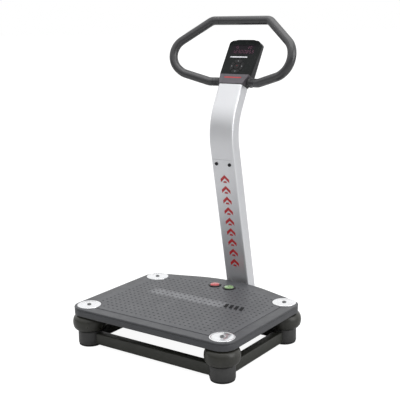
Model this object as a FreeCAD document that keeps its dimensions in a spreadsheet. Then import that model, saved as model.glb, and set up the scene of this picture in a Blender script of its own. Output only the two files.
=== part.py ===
import FreeCAD, Part
import math
import os
import Sketcher

# Vibration plate: a platform on four rubber bulb springs over a welded floor frame,
# with a bent column behind it that carries a console and a closed handlebar loop.
# Frame: origin on the floor midway between the four posts, +Z up, +X to the right,
# +Y to the rear. The user stands on the deck and faces +Y. All sizes are millimetres.

doc = FreeCAD.newDocument("VibrationPlate")
sheet = doc.addObject("Spreadsheet::Sheet", "sizes")

DIMENSIONS = [
    # floor frame
    ("post_x", 320, "post axis, sideways from the middle"),
    ("post_y", 220, "post axis, fore and aft from the middle"),
    ("post_radius", 48, "outside of a post"),
    ("post_wall", 3, "steel of a post's side"),
    ("post_lid", 5, "steel of a post's top"),
    ("post_bottom", 8, "lower end of a post above the floor"),
    ("post_top", 60, "top of a post, where its spring sits"),
    ("stud_radius", 6, "stud on a post that holds its spring"),
    ("stud_height", 18, "height of that stud"),
    ("foot_radius", 46.5, "rubber foot under a post"),
    ("foot_edge", 3, "rounding of a rubber foot's lower edge"),
    ("foot_plug", 10, "part of a foot that enters its post"),
    ("rail_width", 36, "width of a frame rail"),
    ("rail_height", 45, "height of a frame rail"),
    ("rail_bottom", 9, "underside of a frame rail above the floor"),
    ("rail_wall", 2.5, "steel of a frame rail"),
    # springs
    ("spring_end", 49, "radius of a bulb spring at its ends"),
    ("spring_belly", 68, "radius of a bulb spring at its middle"),
    ("spring_lip", 4, "plain rim at each end of a spring"),
    ("spring_socket", 24, "depth of the sockets in a spring's ends"),
    # deck
    ("deck_half_width", 380, "deck edge, sideways from the middle"),
    ("deck_front", 278, "front edge of the deck"),
    ("deck_rear", 349, "middle of the curved rear edge"),
    ("deck_corner", 58, "rounding of the deck's corners"),
    ("rear_arc", 569, "radius of the rear edge"),
    ("rear_angle", 18.4, "slope of the rear edge beyond its arc, degrees"),
    ("deck_bottom", 128, "underside of the deck above the floor"),
    ("deck_top", 160, "top of the deck shell above the floor"),
    ("deck_wall", 4, "side wall of the deck shell"),
    ("deck_skin", 5, "top wall of the deck shell"),
    ("deck_edge", 7, "rounding of the deck's top edge"),
    ("plate_gap", 1, "space between the steel plate and the shell's side"),
    ("plate_thickness", 5, "steel plate under the shell"),
    ("rib_width", 20, "width of the ribs under the plate"),
    ("rib_side_x", 250, "side ribs, sideways from the middle"),
    ("rib_front_y", -190, "front rib"),
    ("rib_cross_y", -70, "cross rib in front of the motors"),
    ("rib_rear_y", 200, "rear rib"),
    ("rib_bottom", 132, "underside of the ribs above the floor"),
    ("boss_radius", 30, "boss over each spring"),
    ("mat_margin", 46, "plain border round the mat"),
    ("mat_recess", 1.5, "depth that the mat is let into the shell"),
    ("mat_thickness", 3, "thickness of the mat"),
    ("mat_clearance", 4, "space between the mat and a corner disc"),
    ("disc_radius", 47.5, "corner disc"),
    ("disc_thickness", 3, "corner disc"),
    ("bolt_radius", 5, "bolt through each corner disc"),
    ("bolt_length", 52, "shank of that bolt"),
    ("bolt_head_radius", 8, "head of that bolt"),
    ("bolt_head", 3, "height of that head"),
    ("hex_radius", 3.2, "hexagon socket in the bolt heads"),
    ("fit_gap", 0.3, "clearance of bolts and loose fits"),
    ("nut_share", 1.65, "reach of a nut's or hexagon head's corners, in bolt radii"),
    # deck push buttons
    ("button_x", 36, "push button axis, sideways from the middle"),
    ("button_y", 252, "push button axis, to the rear"),
    ("button_radius", 20, "push button cap"),
    ("button_height", 10, "top of a cap above the deck shell"),
    ("button_dome", 2, "crown of a cap"),
    ("button_skirt", 2, "lower edge of a cap below the deck shell's top"),
    ("button_gap", 0.4, "space round a cap"),
    ("button_travel", 3, "push of a button"),
    ("bezel_radius", 25, "ring round a push button"),
    ("bezel_height", 5.5, "ring above the deck shell"),
    ("bezel_chamfer", 2, "sloping edge of the ring"),
    ("bezel_barrel", 22.5, "barrel of the ring, through the deck"),
    ("bezel_depth", 16, "barrel below the deck shell's top"),
    ("bezel_floor", 3, "floor of the barrel"),
    ("stem_radius", 5, "stem of a push button"),
    ("stem_reach", 6, "stem below the barrel"),
    ("switch_width", 30, "switch block under a push button"),
    ("switch_depth", 20, "switch block, fore and aft"),
    ("switch_height", 14, "switch block"),
    ("switch_leg", 3, "legs that clip the switch block to the barrel"),
    # vibration motors
    ("motor_x", 95, "motor axis, sideways from the middle"),
    ("motor_y", 60, "middle of the motors"),
    ("motor_z", 98, "motor axis above the floor"),
    ("motor_radius", 45, "motor case"),
    ("motor_wall", 4, "wall of the motor case"),
    ("motor_length", 190, "motor case without its covers"),
    ("motor_foot_width", 116, "mounting foot of a motor"),
    ("motor_foot_length", 110, "mounting foot of a motor"),
    ("motor_foot", 8, "thickness of the mounting foot"),
    ("motor_web", 36, "half width of the web between case and foot"),
    ("motor_bolt_head", 4, "height of the foot bolts' heads"),
    ("motor_bolt_x", 50, "foot bolts, sideways from the motor axis"),
    ("motor_bolt_y", 45, "foot bolts, fore and aft"),
    ("motor_bolt_radius", 4, "foot bolts"),
    ("stator_length", 70, "stator inside the case"),
    ("rotor_radius", 24, "rotor core"),
    ("air_gap", 0.5, "gap between rotor and stator"),
    ("rotor_length", 66, "rotor core"),
    ("shaft_radius", 8, "motor shaft"),
    ("shaft_running_gap", 0.03, "clearance of the shaft in its bearings"),
    ("shaft_end_gap", 1.5, "clearance at each end of the shaft"),
    ("bearing_radius", 17.5, "outside of a bearing"),
    ("bearing_width", 12, "width of a bearing"),
    ("cover_thickness", 8, "end cover of a motor"),
    ("cover_hub_radius", 24, "bearing hub of an end cover"),
    ("weight_clearance", 5, "between the eccentric weight and the case"),
    ("weight_hub", 14, "hub of the eccentric weight"),
    ("weight_width", 24, "width of an eccentric weight"),
    ("weight_gap", 6, "between stator and weight"),
    # column
    ("column_width", 114, "column, side to side"),
    ("column_depth", 55, "column, front to back"),
    ("column_corner", 9, "rounding of the column's long edges"),
    ("column_wall", 2.5, "sheet of the column"),
    ("bend_y", 271, "point where the column's two axes would cross"),
    ("bend_z", 837, "height of that point"),
    ("bend_radius", 246, "bend of the column's axis"),
    ("lower_lean", 10.3, "lean of the lower column toward the user, degrees"),
    ("neck_lean", 27.9, "lean of the neck away from the user, degrees"),
    ("joint_below_bend", 134, "column joint, below the bend point"),
    ("neck_run", 176, "top of the neck, above the bend point"),
    ("sleeve_below", 90, "sleeve in the lower column"),
    ("sleeve_above", 44, "sleeve in the upper column"),
    ("sleeve_wall", 4, "wall of the sleeve"),
    ("joint_bolt_x", 32, "bolts of the column joint"),
    ("joint_bolt_drop", 19, "those bolts, below the joint"),
    ("joint_bolt_radius", 4, "bolts of the column joint"),
    ("joint_head_radius", 7, "heads of those bolts"),
    ("joint_head", 3, "height of those heads"),
    ("flange_width", 190, "foot flange of the column"),
    ("flange_front", 40, "flange in front of the column's axis"),
    ("flange_back", 60, "flange behind the column's axis"),
    ("flange_thickness", 6, "foot flange"),
    ("flange_bolt_x", 80, "bolts of the flange"),
    ("flange_bolt_front", 28, "front bolts, ahead of the column's axis"),
    ("flange_bolt_back", 48, "rear bolts, behind the column's axis"),
    ("flange_bolt_radius", 6, "bolts of the flange"),
    ("flange_bolt_head", 7.2, "height of their heads and nuts"),
    ("seat_z", 60, "top of the seat plate that carries the column"),
    ("seat_thickness", 6, "seat plate"),
    ("arm_x", 75, "carrier arms, sideways from the middle"),
    ("arm_width", 40, "carrier arms"),
    ("arm_spare", 8, "carrier arms behind the flange"),
    ("arm_bottom", 14, "underside of the carrier arms"),
    ("rear_foot_radius", 17, "small rubber foot under each carrier arm"),
    ("rear_foot_inset", 26, "that foot, ahead of the arm's end"),
    # mains and drive, measured along the lower column
    ("inlet_rise", 62, "mains inlet above the column's foot"),
    ("inlet_width", 28, "barrel of the mains inlet"),
    ("inlet_height", 20, "barrel of the mains inlet"),
    ("inlet_rim", 4, "rim of the mains inlet beyond its barrel"),
    ("inlet_rim_thickness", 2, "rim of the mains inlet and of the switch"),
    ("inlet_depth", 20, "barrel inside the column"),
    ("inlet_wall", 2.5, "wall of the mains inlet"),
    ("blade_half", 1, "half thickness of an inlet blade"),
    ("blade_reach", 2, "half height of an inlet blade"),
    ("switch_rise", 44, "power switch above the inlet"),
    ("rocker_width", 13, "rocker of the power switch"),
    ("rocker_radius", 10.2, "round of the rocker about its pin"),
    ("rocker_proud", 3, "rocker beyond the switch's rim"),
    ("rocker_depth", 6, "rocker behind its pin"),
    ("rocker_crown", 2, "flat of the rocker outside the switch's rim"),
    ("rocker_swing", 20, "travel of the rocker, degrees"),
    ("rocker_gap", 0.4, "space round the rocker"),
    ("rocker_pin", 1.5, "pins of the rocker"),
    ("rocker_pin_length", 1.6, "pins of the rocker"),
    ("rocker_pin_gap", 0.05, "running clearance of those pins"),
    ("board_width", 84, "motor drive board"),
    ("board_length", 210, "motor drive board"),
    ("board_rise", 200, "drive board above the column's foot"),
    ("board_depth", 8, "drive board behind the column's axis"),
    ("board_thickness", 1.6, "circuit boards"),
    ("board_inset", 8, "standoffs inside the drive board's edges"),
    ("standoff_radius", 3, "standoffs of the drive board"),
    ("capacitor_radius", 11, "capacitors on the drive board"),
    ("capacitor_height", 24, "capacitors on the drive board"),
    ("capacitor_rise", 40, "capacitors above the board's lower end"),
    ("sink_low", 90, "lower end of the heat sink on the board"),
    ("sink_high", 150, "upper end of the heat sink"),
    ("sink_height", 18, "heat sink"),
    ("filter_low", 165, "lower end of the mains filter on the board"),
    ("filter_high", 200, "upper end of the mains filter"),
    ("filter_height", 20, "mains filter"),
    ("part_inset", 10, "heat sink and filter inside the board's edges"),
    # console, in the neck's own frame: depth back from the neck axis, rise along it
    ("console_back", 33, "back of the console behind the neck axis"),
    ("back_flare_rise", 34, "where the console's back reaches its full depth"),
    ("face_low_rise", 48, "lower edge of the console face"),
    ("face_low_depth", -17, "lower edge of the console face"),
    ("face_high_rise", 187, "upper edge of the console face"),
    ("face_high_depth", 0, "upper edge of the console face"),
    ("console_rise", 216, "top of the console"),
    ("hood_back_drop", 10, "start of the hood's arc at the back, below the console's top"),
    ("hood_front_drop", 6, "end of the hood's arc at the front, below the console's top"),
    ("crown_drop", 9, "ends of the crown's arc, below the console's top"),
    ("shoulder_rise", 190, "where the console's top corners begin"),
    ("face_low_half", 71, "half width at the face's lower edge"),
    ("face_high_half", 76, "half width at the face's upper edge"),
    ("top_half", 50, "half width of the console's crown"),
    ("top_radius", 150, "arc across the console's crown"),
    ("corner_radius", 24, "arc of the console's top corners"),
    ("hood_radius", 20, "arc over the console's top, front to back"),
    ("console_wall", 2.8, "wall of the console shells"),
    ("console_edge", 3, "rounding of the console's edges"),
    ("shell_split", 18, "parting line behind the face"),
    ("gasket_height", 4, "gasket between column and console"),
    ("gasket_inset", 1.2, "gasket inside the column's outline"),
    ("window_half", 56, "display window"),
    ("window_low", 93, "lower edge of the window, up the face"),
    ("window_high", 138, "upper edge of the window, up the face"),
    ("window_thickness", 1.8, "display window"),
    ("window_ledge", 3, "ledge that the window rests on"),
    ("window_corner", 0.5, "rounding of the window and the trim strip"),
    ("display_gap", 1, "space between the display and the window's opening"),
    ("strip_rise", 81, "trim strip, up the face"),
    ("strip_half", 41, "trim strip"),
    ("strip_height", 5, "trim strip"),
    ("strip_sunk", 0.8, "trim strip in the face"),
    ("strip_proud", 0.6, "trim strip above the face"),
    ("pad_rise", 37, "middle of the keypad, up the face"),
    ("pad_radius", 32, "outside of the ring of keys"),
    ("key_inner", 16, "inside of the ring of keys"),
    ("key_centre", 13, "centre key"),
    ("key_slit", 4, "face web between the keys"),
    ("key_gap", 0.35, "space round each key"),
    ("key_travel", 0.8, "push of a key"),
    ("key_proud", 1.4, "key above the face"),
    ("key_depth", 5, "key below the face"),
    ("key_switch", 3, "height of the switches on the console board"),
    ("key_switch_radius", 3, "switches on the console board"),
    ("console_board_half", 50, "half width of the console board"),
    ("console_board_low", 6, "lower edge of the console board, up the face"),
    ("console_board_high", 140, "upper edge of the console board, up the face"),
    ("screw_radius", 1.8, "console screws"),
    ("screw_head", 3.6, "heads of the console screws"),
    ("screw_length", 14, "console screws"),
    ("screw_boss", 5, "bosses for the console screws"),
    ("screw_x", 55, "console screws, sideways"),
    ("screw_low", 72, "lower console screws, up the neck"),
    ("screw_high", 178, "upper console screws, up the neck"),
    # handlebar, in the neck's own frame
    ("tube_radius", 14, "handlebar tube"),
    ("tube_wall", 2, "handlebar tube"),
    ("grip_radius", 18, "foam grip"),
    ("tube_end", 24, "end of the tube, from the middle"),
    ("ear_x", 38, "bracket ears that hold the tube"),
    ("ear_thickness", 6, "bracket ears"),
    ("ear_below", 16, "ears inside the column"),
    ("ear_margin", 8, "ear beyond the tube"),
    ("ear_root_height", 6, "overlap of each ear with its root"),
    ("ear_front", 8, "ears above the column, ahead of its middle"),
    ("ear_rear", 20, "ears above the column, behind its middle"),
    ("collar_start", 73, "plastic collar, from the middle"),
    ("collar_end", 106, "plastic collar, from the middle"),
    ("collar_flange", 21, "flange of the collar"),
    ("collar_flange_width", 5, "flange of the collar"),
    ("top_grip_half", 100, "half length of the top grip"),
    ("grip_gap", 1, "gap between grips"),
    # corners of the handlebar's centre line: sideways, depth, rise and bend radius
    ("mouth_x", 60, "where the tube leaves the neck"),
    ("mouth_depth", 13.5, "where the tube leaves the neck"),
    ("mouth_rise", 25.4, "where the tube leaves the neck"),
    ("mouth_bend", 22, "bend where the tube leaves the neck"),
    ("elbow_x", 118, "elbow beside the neck"),
    ("elbow_depth", -6, "elbow beside the neck"),
    ("elbow_rise", 16, "elbow beside the neck"),
    ("elbow_bend", 66, "elbow beside the neck"),
    ("low_x", 235, "lower outer corner"),
    ("low_depth", -48, "lower outer corner"),
    ("low_rise", 33, "lower outer corner"),
    ("low_bend", 80, "lower outer corner"),
    ("side_x", 337, "side corner"),
    ("side_depth", -93, "side corner"),
    ("side_rise", 97, "side corner"),
    ("side_bend", 75, "side corner"),
    ("top_x", 139, "top corner"),
    ("top_depth", -70, "top corner"),
    ("top_rise", 262, "top corner"),
    ("top_bend", 35, "top corner"),
]

for line, (name, value, note) in enumerate(DIMENSIONS, start=1):
    sheet.set("A%d" % line, note)
    sheet.set("B%d" % line, str(value))
    sheet.setAlias("B%d" % line, name)
doc.recompute()


class Dim:
    """A size that carries its number and the spreadsheet formula behind it."""

    def __init__(self, formula, number):
        self.formula = formula
        self.number = number

    def __float__(self):
        return float(self.number)

    def __neg__(self):
        return Dim("(-%s)" % self.formula, -self.number)

    def join(self, sign, other, number):
        right = other.formula if isinstance(other, Dim) else "%.9g" % other
        return Dim("(%s %s %s)" % (self.formula, sign, right), number)

    def __add__(self, other):
        return self.join("+", other, self.number + float(other))

    def __sub__(self, other):
        return self.join("-", other, self.number - float(other))

    def __mul__(self, other):
        return self.join("*", other, self.number * float(other))

    def __truediv__(self, other):
        return self.join("/", other, self.number / float(other))

    def __radd__(self, other):
        return plain(other) + self

    def __rsub__(self, other):
        return plain(other) - self

    def __rmul__(self, other):
        return plain(other) * self


def plain(number):
    """A fixed number as a Dim."""
    return number if isinstance(number, Dim) else Dim("%.9g" % number, number)


def sine(angle):
    return Dim("sin(%s)" % angle.formula, math.sin(math.radians(float(angle))))


def cosine(angle):
    return Dim("cos(%s)" % angle.formula, math.cos(math.radians(float(angle))))


def tangent(angle):
    return sine(angle) / cosine(angle)


class Sizes:
    """Every size of the sheet, by its name."""


size = Sizes()
for name, value, note in DIMENSIONS:
    setattr(size, name, Dim("sizes.%s" % name, float(sheet.get(name))))

X_AXIS = FreeCAD.Vector(1, 0, 0)
Y_AXIS = FreeCAD.Vector(0, 1, 0)
Z_AXIS = FreeCAD.Vector(0, 0, 1)
RIGHT_AND_LEFT = (("right", 1), ("left", -1))
nodes = []


# ---- general helpers -------------------------------------------------------------------

def bind(piece, path, dim):
    """Ties a property to the sheet."""
    piece.setExpression(path, plain(dim).formula)


def place(piece, x=0, y=0, z=0, axis=None, angle=0):
    """Puts a piece where the sheet says, turned about an axis."""
    if axis is not None:
        turn = FreeCAD.Rotation(axis, float(angle))
        piece.Placement = FreeCAD.Placement(FreeCAD.Vector(0, 0, 0), turn)
        if isinstance(angle, Dim):
            bind(piece, "Placement.Rotation.Angle", angle)
    for letter, dim in (("x", x), ("y", y), ("z", z)):
        bind(piece, "Placement.Base.%s" % letter, dim)
    return piece


def keep(piece, label):
    """Marks a finished sub-part; its label names its file."""
    piece.Label = label
    nodes.append(piece)
    return piece


def box(name, x, y, z):
    """A block between the pairs x, y and z."""
    block = doc.addObject("Part::Box", name)
    for path, (low, high) in (("Length", x), ("Width", y), ("Height", z)):
        bind(block, path, plain(high) - low)
    return place(block, x[0], y[0], z[0])


def rod(name, radius, low, high, x=0, y=0):
    """An upright cylinder from height low to height high."""
    cylinder = doc.addObject("Part::Cylinder", name)
    bind(cylinder, "Radius", radius)
    bind(cylinder, "Height", plain(high) - low)
    return place(cylinder, x, y, low)


def rodAlongY(name, radius, front, back, x=0, z=0):
    """A cylinder that lies fore and aft."""
    cylinder = doc.addObject("Part::Cylinder", name)
    bind(cylinder, "Radius", radius)
    bind(cylinder, "Height", plain(back) - front)
    cylinder.Placement = FreeCAD.Placement(FreeCAD.Vector(0, 0, 0), FreeCAD.Rotation(X_AXIS, -90))
    for letter, dim in (("x", x), ("y", front), ("z", z)):
        bind(cylinder, "Placement.Base.%s" % letter, dim)
    return cylinder


def hexPrism(name, radius, low, high, x=0, y=0):
    """A hexagon prism, such as a socket in a bolt's head."""
    prism = doc.addObject("Part::Prism", name)
    prism.Polygon = 6
    bind(prism, "Circumradius", radius)
    bind(prism, "Height", plain(high) - low)
    return place(prism, x, y, low)


def fuse(name, *pieces):
    joined = doc.addObject("Part::MultiFuse", name)
    joined.Shapes = list(pieces)
    joined.Refine = True
    return joined


def cut(name, base, *tools):
    rest = doc.addObject("Part::Cut", name)
    rest.Base = base
    rest.Tool = tools[0] if len(tools) == 1 else fuse(name + "_tools", *tools)
    rest.Refine = True
    return rest


def common(name, first, second):
    both = doc.addObject("Part::Common", name)
    both.Base = first
    both.Tool = second
    both.Refine = True
    return both


def group(name, *pieces):
    """Separate solids in one node."""
    bundle = doc.addObject("Part::Compound", name)
    bundle.Links = list(pieces)
    return bundle


def isStraight(edge, direction):
    """True for a straight edge that runs along a direction."""
    if not isinstance(edge.Curve, Part.Line):
        return False
    along = (edge.Vertexes[-1].Point - edge.Vertexes[0].Point).normalize()
    return abs(abs(along.dot(direction)) - 1) < 1e-6


def roundEdges(name, base, radius, chosen):
    """Rounds the edges of a solid that the test picks."""
    doc.recompute()
    rounded = doc.addObject("Part::Fillet", name)
    rounded.Base = base
    picks = [number for number, edge in enumerate(base.Shape.Edges, start=1) if chosen(edge)]
    if not picks:
        raise RuntimeError("%s found no edge to round" % name)
    rounded.Edges = [(number, float(radius), float(radius)) for number in picks]
    return rounded


def roundedBlock(name, x, y, z, radius, direction=Z_AXIS):
    """A block whose four long edges are rounded."""
    return roundEdges(name, box(name + "_block", x, y, z), radius, lambda edge: isStraight(edge, direction))


def arcBetween(start, end, radius):
    """The minor arc from start to end; a positive radius turns left."""
    chord = end - start
    middle = (start + end) * 0.5
    reach = math.sqrt(max(radius * radius - chord.Length ** 2 / 4, 0))
    leftward = FreeCAD.Vector(-chord.y, chord.x, 0).normalize()
    centre = middle + leftward * (reach if radius > 0 else -reach)
    circle = Part.Circle(centre, Z_AXIS, abs(radius))
    angles = [math.atan2(point.y - centre.y, point.x - centre.x) for point in (start, end)]
    if radius < 0:
        angles.reverse()
    if angles[1] < angles[0]:
        angles[1] += 2 * math.pi
    return Part.ArcOfCircle(circle, angles[0], angles[1])


def drawOutline(sketch, points, closed=True):
    """Draws lines between points (x, y); (x, y, radius) makes the next stretch an arc."""
    spots = [FreeCAD.Vector(float(point[0]), float(point[1]), 0) for point in points]
    count = len(points) if closed else len(points) - 1
    ends = []
    for index in range(count):
        start = spots[index]
        end = spots[(index + 1) % len(points)]
        if len(points[index]) == 3:
            radius = points[index][2]
            curve = sketch.addGeometry(arcBetween(start, end, float(radius)), False)
            ends.append((curve, 1, 2) if float(radius) > 0 else (curve, 2, 1))
            rule = sketch.addConstraint(Sketcher.Constraint("Radius", curve, abs(float(radius))))
            sketch.renameConstraint(rule, "r%d" % index)
            bind(sketch, "Constraints.r%d" % index, radius if float(radius) > 0 else -radius)
        else:
            line = sketch.addGeometry(Part.LineSegment(start, end), False)
            ends.append((line, 1, 2))
    for index in range(count if closed else count - 1):
        this = ends[index]
        after = ends[(index + 1) % count]
        sketch.addConstraint(Sketcher.Constraint("Coincident", this[0], this[2], after[0], after[1]))
    for index, point in enumerate(points):
        curve, tip = (ends[index][0], ends[index][1]) if index < count else (ends[-1][0], ends[-1][2])
        for kind, letter, dim in (("DistanceX", "x", point[0]), ("DistanceY", "y", point[1])):
            rule = sketch.addConstraint(Sketcher.Constraint(kind, -1, 1, curve, tip, float(dim)))
            sketch.renameConstraint(rule, "%s%d" % (letter, index))
            if isinstance(dim, Dim):
                bind(sketch, "Constraints.%s%d" % (letter, index), dim)
    return sketch


def freeSketch(name, plane):
    """A sketch on a plane of the document: XY, XZ or YZ."""
    turns = {"XY": FreeCAD.Rotation(), "XZ": FreeCAD.Rotation(X_AXIS, 90),
             "YZ": FreeCAD.Rotation(FreeCAD.Vector(1, 1, 1), 120)}
    sketch = doc.addObject("Sketcher::SketchObject", name)
    sketch.Placement = FreeCAD.Placement(FreeCAD.Vector(0, 0, 0), turns[plane])
    return sketch


def extrude(name, outline, direction, ahead, behind=0):
    """A solid from an outline, ahead and behind along a direction."""
    solid = doc.addObject("Part::Extrusion", name)
    solid.Base = outline
    solid.DirMode = "Custom"
    solid.Dir = direction
    solid.Solid = True
    bind(solid, "LengthFwd", ahead)
    bind(solid, "LengthRev", behind)
    return solid


def offset(name, outline, distance):
    """An outline moved outward by a distance, or inward where it is negative."""
    moved = doc.addObject("Part::Offset2D", name)
    moved.Source = outline
    bind(moved, "Value", distance)
    return moved


# ---- PartDesign helpers ----------------------------------------------------------------

def newBody(name):
    return doc.addObject("PartDesign::Body", name)


def bodySketch(body, name, role):
    """A sketch on one of the body's own origin planes."""
    sketch = body.newObject("Sketcher::SketchObject", name)
    plane = [item for item in body.Origin.OriginFeatures if item.Role == role][0]
    sketch.AttachmentSupport = [(plane, "")]
    sketch.MapMode = "FlatFace"
    return sketch


def turnedBody(name, profile):
    """A body turned about its own Z axis from a profile of (radius, height) points."""
    body = newBody(name)
    sketch = drawOutline(bodySketch(body, name + "_profile", "XZ_Plane"), profile)
    turned = body.newObject("PartDesign::Revolution", name + "_turned")
    turned.Profile = sketch
    turned.ReferenceAxis = (sketch, ["V_Axis"])
    turned.Angle = 360
    sketch.Visibility = False
    return body


def padBody(name, outline, length, role="XY_Plane"):
    """A body padded from an outline of (x, y) points."""
    body = newBody(name)
    sketch = drawOutline(bodySketch(body, name + "_outline", role), outline)
    pad = body.newObject("PartDesign::Pad", name + "_pad")
    pad.Profile = sketch
    bind(pad, "Length", length)
    return body, pad


# ---- floor frame -----------------------------------------------------------------------

CORNERS = [("front_left", -1, -1), ("front_right", 1, -1), ("rear_left", -1, 1), ("rear_right", 1, 1)]


def makePosts():
    """Four steel posts: open below, closed by a lid with the spring's stud on it."""
    bore = size.post_radius - size.post_wall
    under = size.post_top - size.post_lid
    tip = size.post_top + size.stud_height
    for corner, side, end in CORNERS:
        profile = [(0, under), (bore, under), (bore, size.post_bottom), (size.post_radius, size.post_bottom),
                   (size.post_radius, size.post_top), (size.stud_radius, size.post_top),
                   (size.stud_radius, tip), (0, tip)]
        post = turnedBody(corner + "_post", profile)
        place(post, side * size.post_x, end * size.post_y, 0)
        keep(post, corner + "_post")


def makeFeet():
    """Rubber feet that plug into the posts."""
    feet = []
    plug = size.post_radius - size.post_wall - size.fit_gap
    low = size.foot_edge
    for corner, side, end in CORNERS:
        profile = [(0, 0), (size.foot_radius - low, 0, low), (size.foot_radius, low),
                   (size.foot_radius, size.post_bottom), (plug, size.post_bottom),
                   (plug, size.post_bottom + size.foot_plug), (0, size.post_bottom + size.foot_plug)]
        foot = turnedBody(corner + "_foot", profile)
        feet.append(place(foot, side * size.post_x, end * size.post_y, 0))
    keep(group("floor_feet", *feet), "floor_feet")


def makeRail(label, x, y, along_x):
    """One box-section rail, coped to the posts at both ends."""
    low, high = size.rail_bottom, size.rail_bottom + size.rail_height
    half = size.rail_width / 2
    wall = size.rail_wall
    reach = size.post_x if along_x else size.post_y
    centre = y if along_x else x
    across, inner = (centre - half, centre + half), (centre - half + wall, centre + half - wall)
    along = (-reach, reach)
    if along_x:
        outside = box(label + "_outside", along, across, (low, high))
        inside = box(label + "_inside", along, inner, (low + wall, high - wall))
        posts = [rod("%s_cope_%d" % (label, end), size.post_radius, low - wall, high + wall,
                     end * size.post_x, y) for end in (1, -1)]
    else:
        outside = box(label + "_outside", across, along, (low, high))
        inside = box(label + "_inside", inner, along, (low + wall, high - wall))
        posts = [rod("%s_cope_%d" % (label, end), size.post_radius, low - wall, high + wall,
                     x, end * size.post_y) for end in (1, -1)]
    keep(cut(label, outside, inside, *posts), label)


def makeRails():
    makeRail("front_rail", 0, -size.post_y, True)
    makeRail("rear_rail", 0, size.post_y, True)
    makeRail("left_rail", -size.post_x, 0, False)
    makeRail("right_rail", size.post_x, 0, False)


# ---- springs ---------------------------------------------------------------------------

def makeSprings():
    """Rubber bulb springs, with a socket for the post's stud and one for the deck's bolt."""
    low, high = size.post_top, size.deck_bottom
    bulge = size.spring_belly - size.spring_end
    half = (high - low) / 2 - size.spring_lip
    arc = (half * half + bulge * bulge) / (bulge * 2)
    lower_socket = size.stud_radius + size.fit_gap
    upper_socket = size.bolt_radius + size.fit_gap
    for corner, side, end in CORNERS:
        profile = [(lower_socket, low), (size.spring_end, low),
                   (size.spring_end, low + size.spring_lip, arc), (size.spring_end, high - size.spring_lip),
                   (size.spring_end, high), (upper_socket, high), (upper_socket, high - size.spring_socket),
                   (0, high - size.spring_socket), (0, low + size.spring_socket),
                   (lower_socket, low + size.spring_socket)]
        spring = turnedBody(corner + "_spring", profile)
        place(spring, side * size.post_x, end * size.post_y, 0)
        keep(spring, corner + "_spring")


# ---- deck ------------------------------------------------------------------------------

def deckCore():
    """The deck's outline drawn through the centres of its rounded corners."""
    core = freeSketch("deck_core", "XY")
    half = size.deck_half_width - size.deck_corner
    front = size.deck_corner - size.deck_front
    arc = size.rear_arc - size.deck_corner
    arc_centre = size.deck_rear - size.rear_arc
    shoulder_x = arc * sine(size.rear_angle)
    shoulder_y = arc_centre + arc * cosine(size.rear_angle)
    corner_y = shoulder_y - (half - shoulder_x) * tangent(size.rear_angle)
    return drawOutline(core, [(-half, front), (half, front), (half, corner_y), (shoulder_x, shoulder_y, arc),
                              (-shoulder_x, shoulder_y), (-half, corner_y)])


def deckSlab(name, core, growth, low, high):
    """A slab of the deck's shape: the core outline grown by a distance."""
    slab = extrude(name, offset(name + "_outline", core, growth), Z_AXIS, plain(high) - low)
    slab.Placement = FreeCAD.Placement()
    return place(slab, 0, 0, low)


def cornerRods(name, radius, low, high):
    """One cylinder at each corner of the deck."""
    return [rod("%s_%s" % (name, corner), radius, low, high, side * size.post_x, end * size.post_y)
            for corner, side, end in CORNERS]


def buttonRods(name, radius, low, high):
    """One cylinder at each push button."""
    return [rod("%s_%s" % (name, hand), radius, low, high, side * size.button_x, size.button_y)
            for hand, side in RIGHT_AND_LEFT]


def makeDeckFrame(core):
    """Steel plate with ribs, a boss over each spring and holes for bolts and buttons."""
    high = size.deck_top - size.deck_skin
    low = high - size.plate_thickness
    growth = size.deck_corner - size.deck_wall - size.plate_gap
    plate = deckSlab("plate", core, growth, low, high)
    bosses = cornerRods("boss", size.boss_radius, size.deck_bottom, low)
    half = size.rib_width / 2
    ribs = []
    for name, y in (("front", size.rib_front_y), ("cross", size.rib_cross_y), ("rear", size.rib_rear_y)):
        ribs.append(box("rib_" + name, (-size.rib_side_x - half, size.rib_side_x + half),
                        (y - half, y + half), (size.rib_bottom, low)))
    for hand, side in RIGHT_AND_LEFT:
        x = side * size.rib_side_x
        ribs.append(box("rib_" + hand, (x - half, x + half), (size.rib_front_y, size.rib_rear_y),
                        (size.rib_bottom, low)))
    for corner, side, end in CORNERS:
        inner = size.rib_side_x * side
        outer = size.post_x * side
        y = size.rib_rear_y if end > 0 else size.rib_front_y
        span = (inner, outer) if side > 0 else (outer, inner)
        ribs.append(box("rib_" + corner, span, (y - half, y + half), (size.rib_bottom, low)))
    holes = cornerRods("plate_hole", size.bolt_radius + size.fit_gap, size.deck_bottom, high)
    holes += buttonRods("plate_button", size.bezel_barrel + size.fit_gap, low, high)
    for hand, side in RIGHT_AND_LEFT:
        for x_sign in (1, -1):
            for y_sign in (1, -1):
                holes.append(rod("plate_motor_%s_%d_%d" % (hand, x_sign, y_sign),
                                 size.motor_bolt_radius + size.fit_gap, low, high,
                                 side * size.motor_x + x_sign * size.motor_bolt_x,
                                 size.motor_y + y_sign * size.motor_bolt_y))
    keep(cut("deck_frame", fuse("deck_frame_solid", plate, *bosses, *ribs), *holes), "deck_frame")


def matShape(core, name, growth, low, high):
    """The mat's outline, cut back round the corner discs and the push buttons."""
    slab = deckSlab(name, core, growth, low, high)
    gaps = cornerRods(name + "_disc", size.disc_radius + size.mat_clearance, low, high)
    gaps += buttonRods(name + "_button", size.bezel_radius + size.mat_clearance, low, high)
    return cut(name + "_cut", slab, *gaps)


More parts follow.
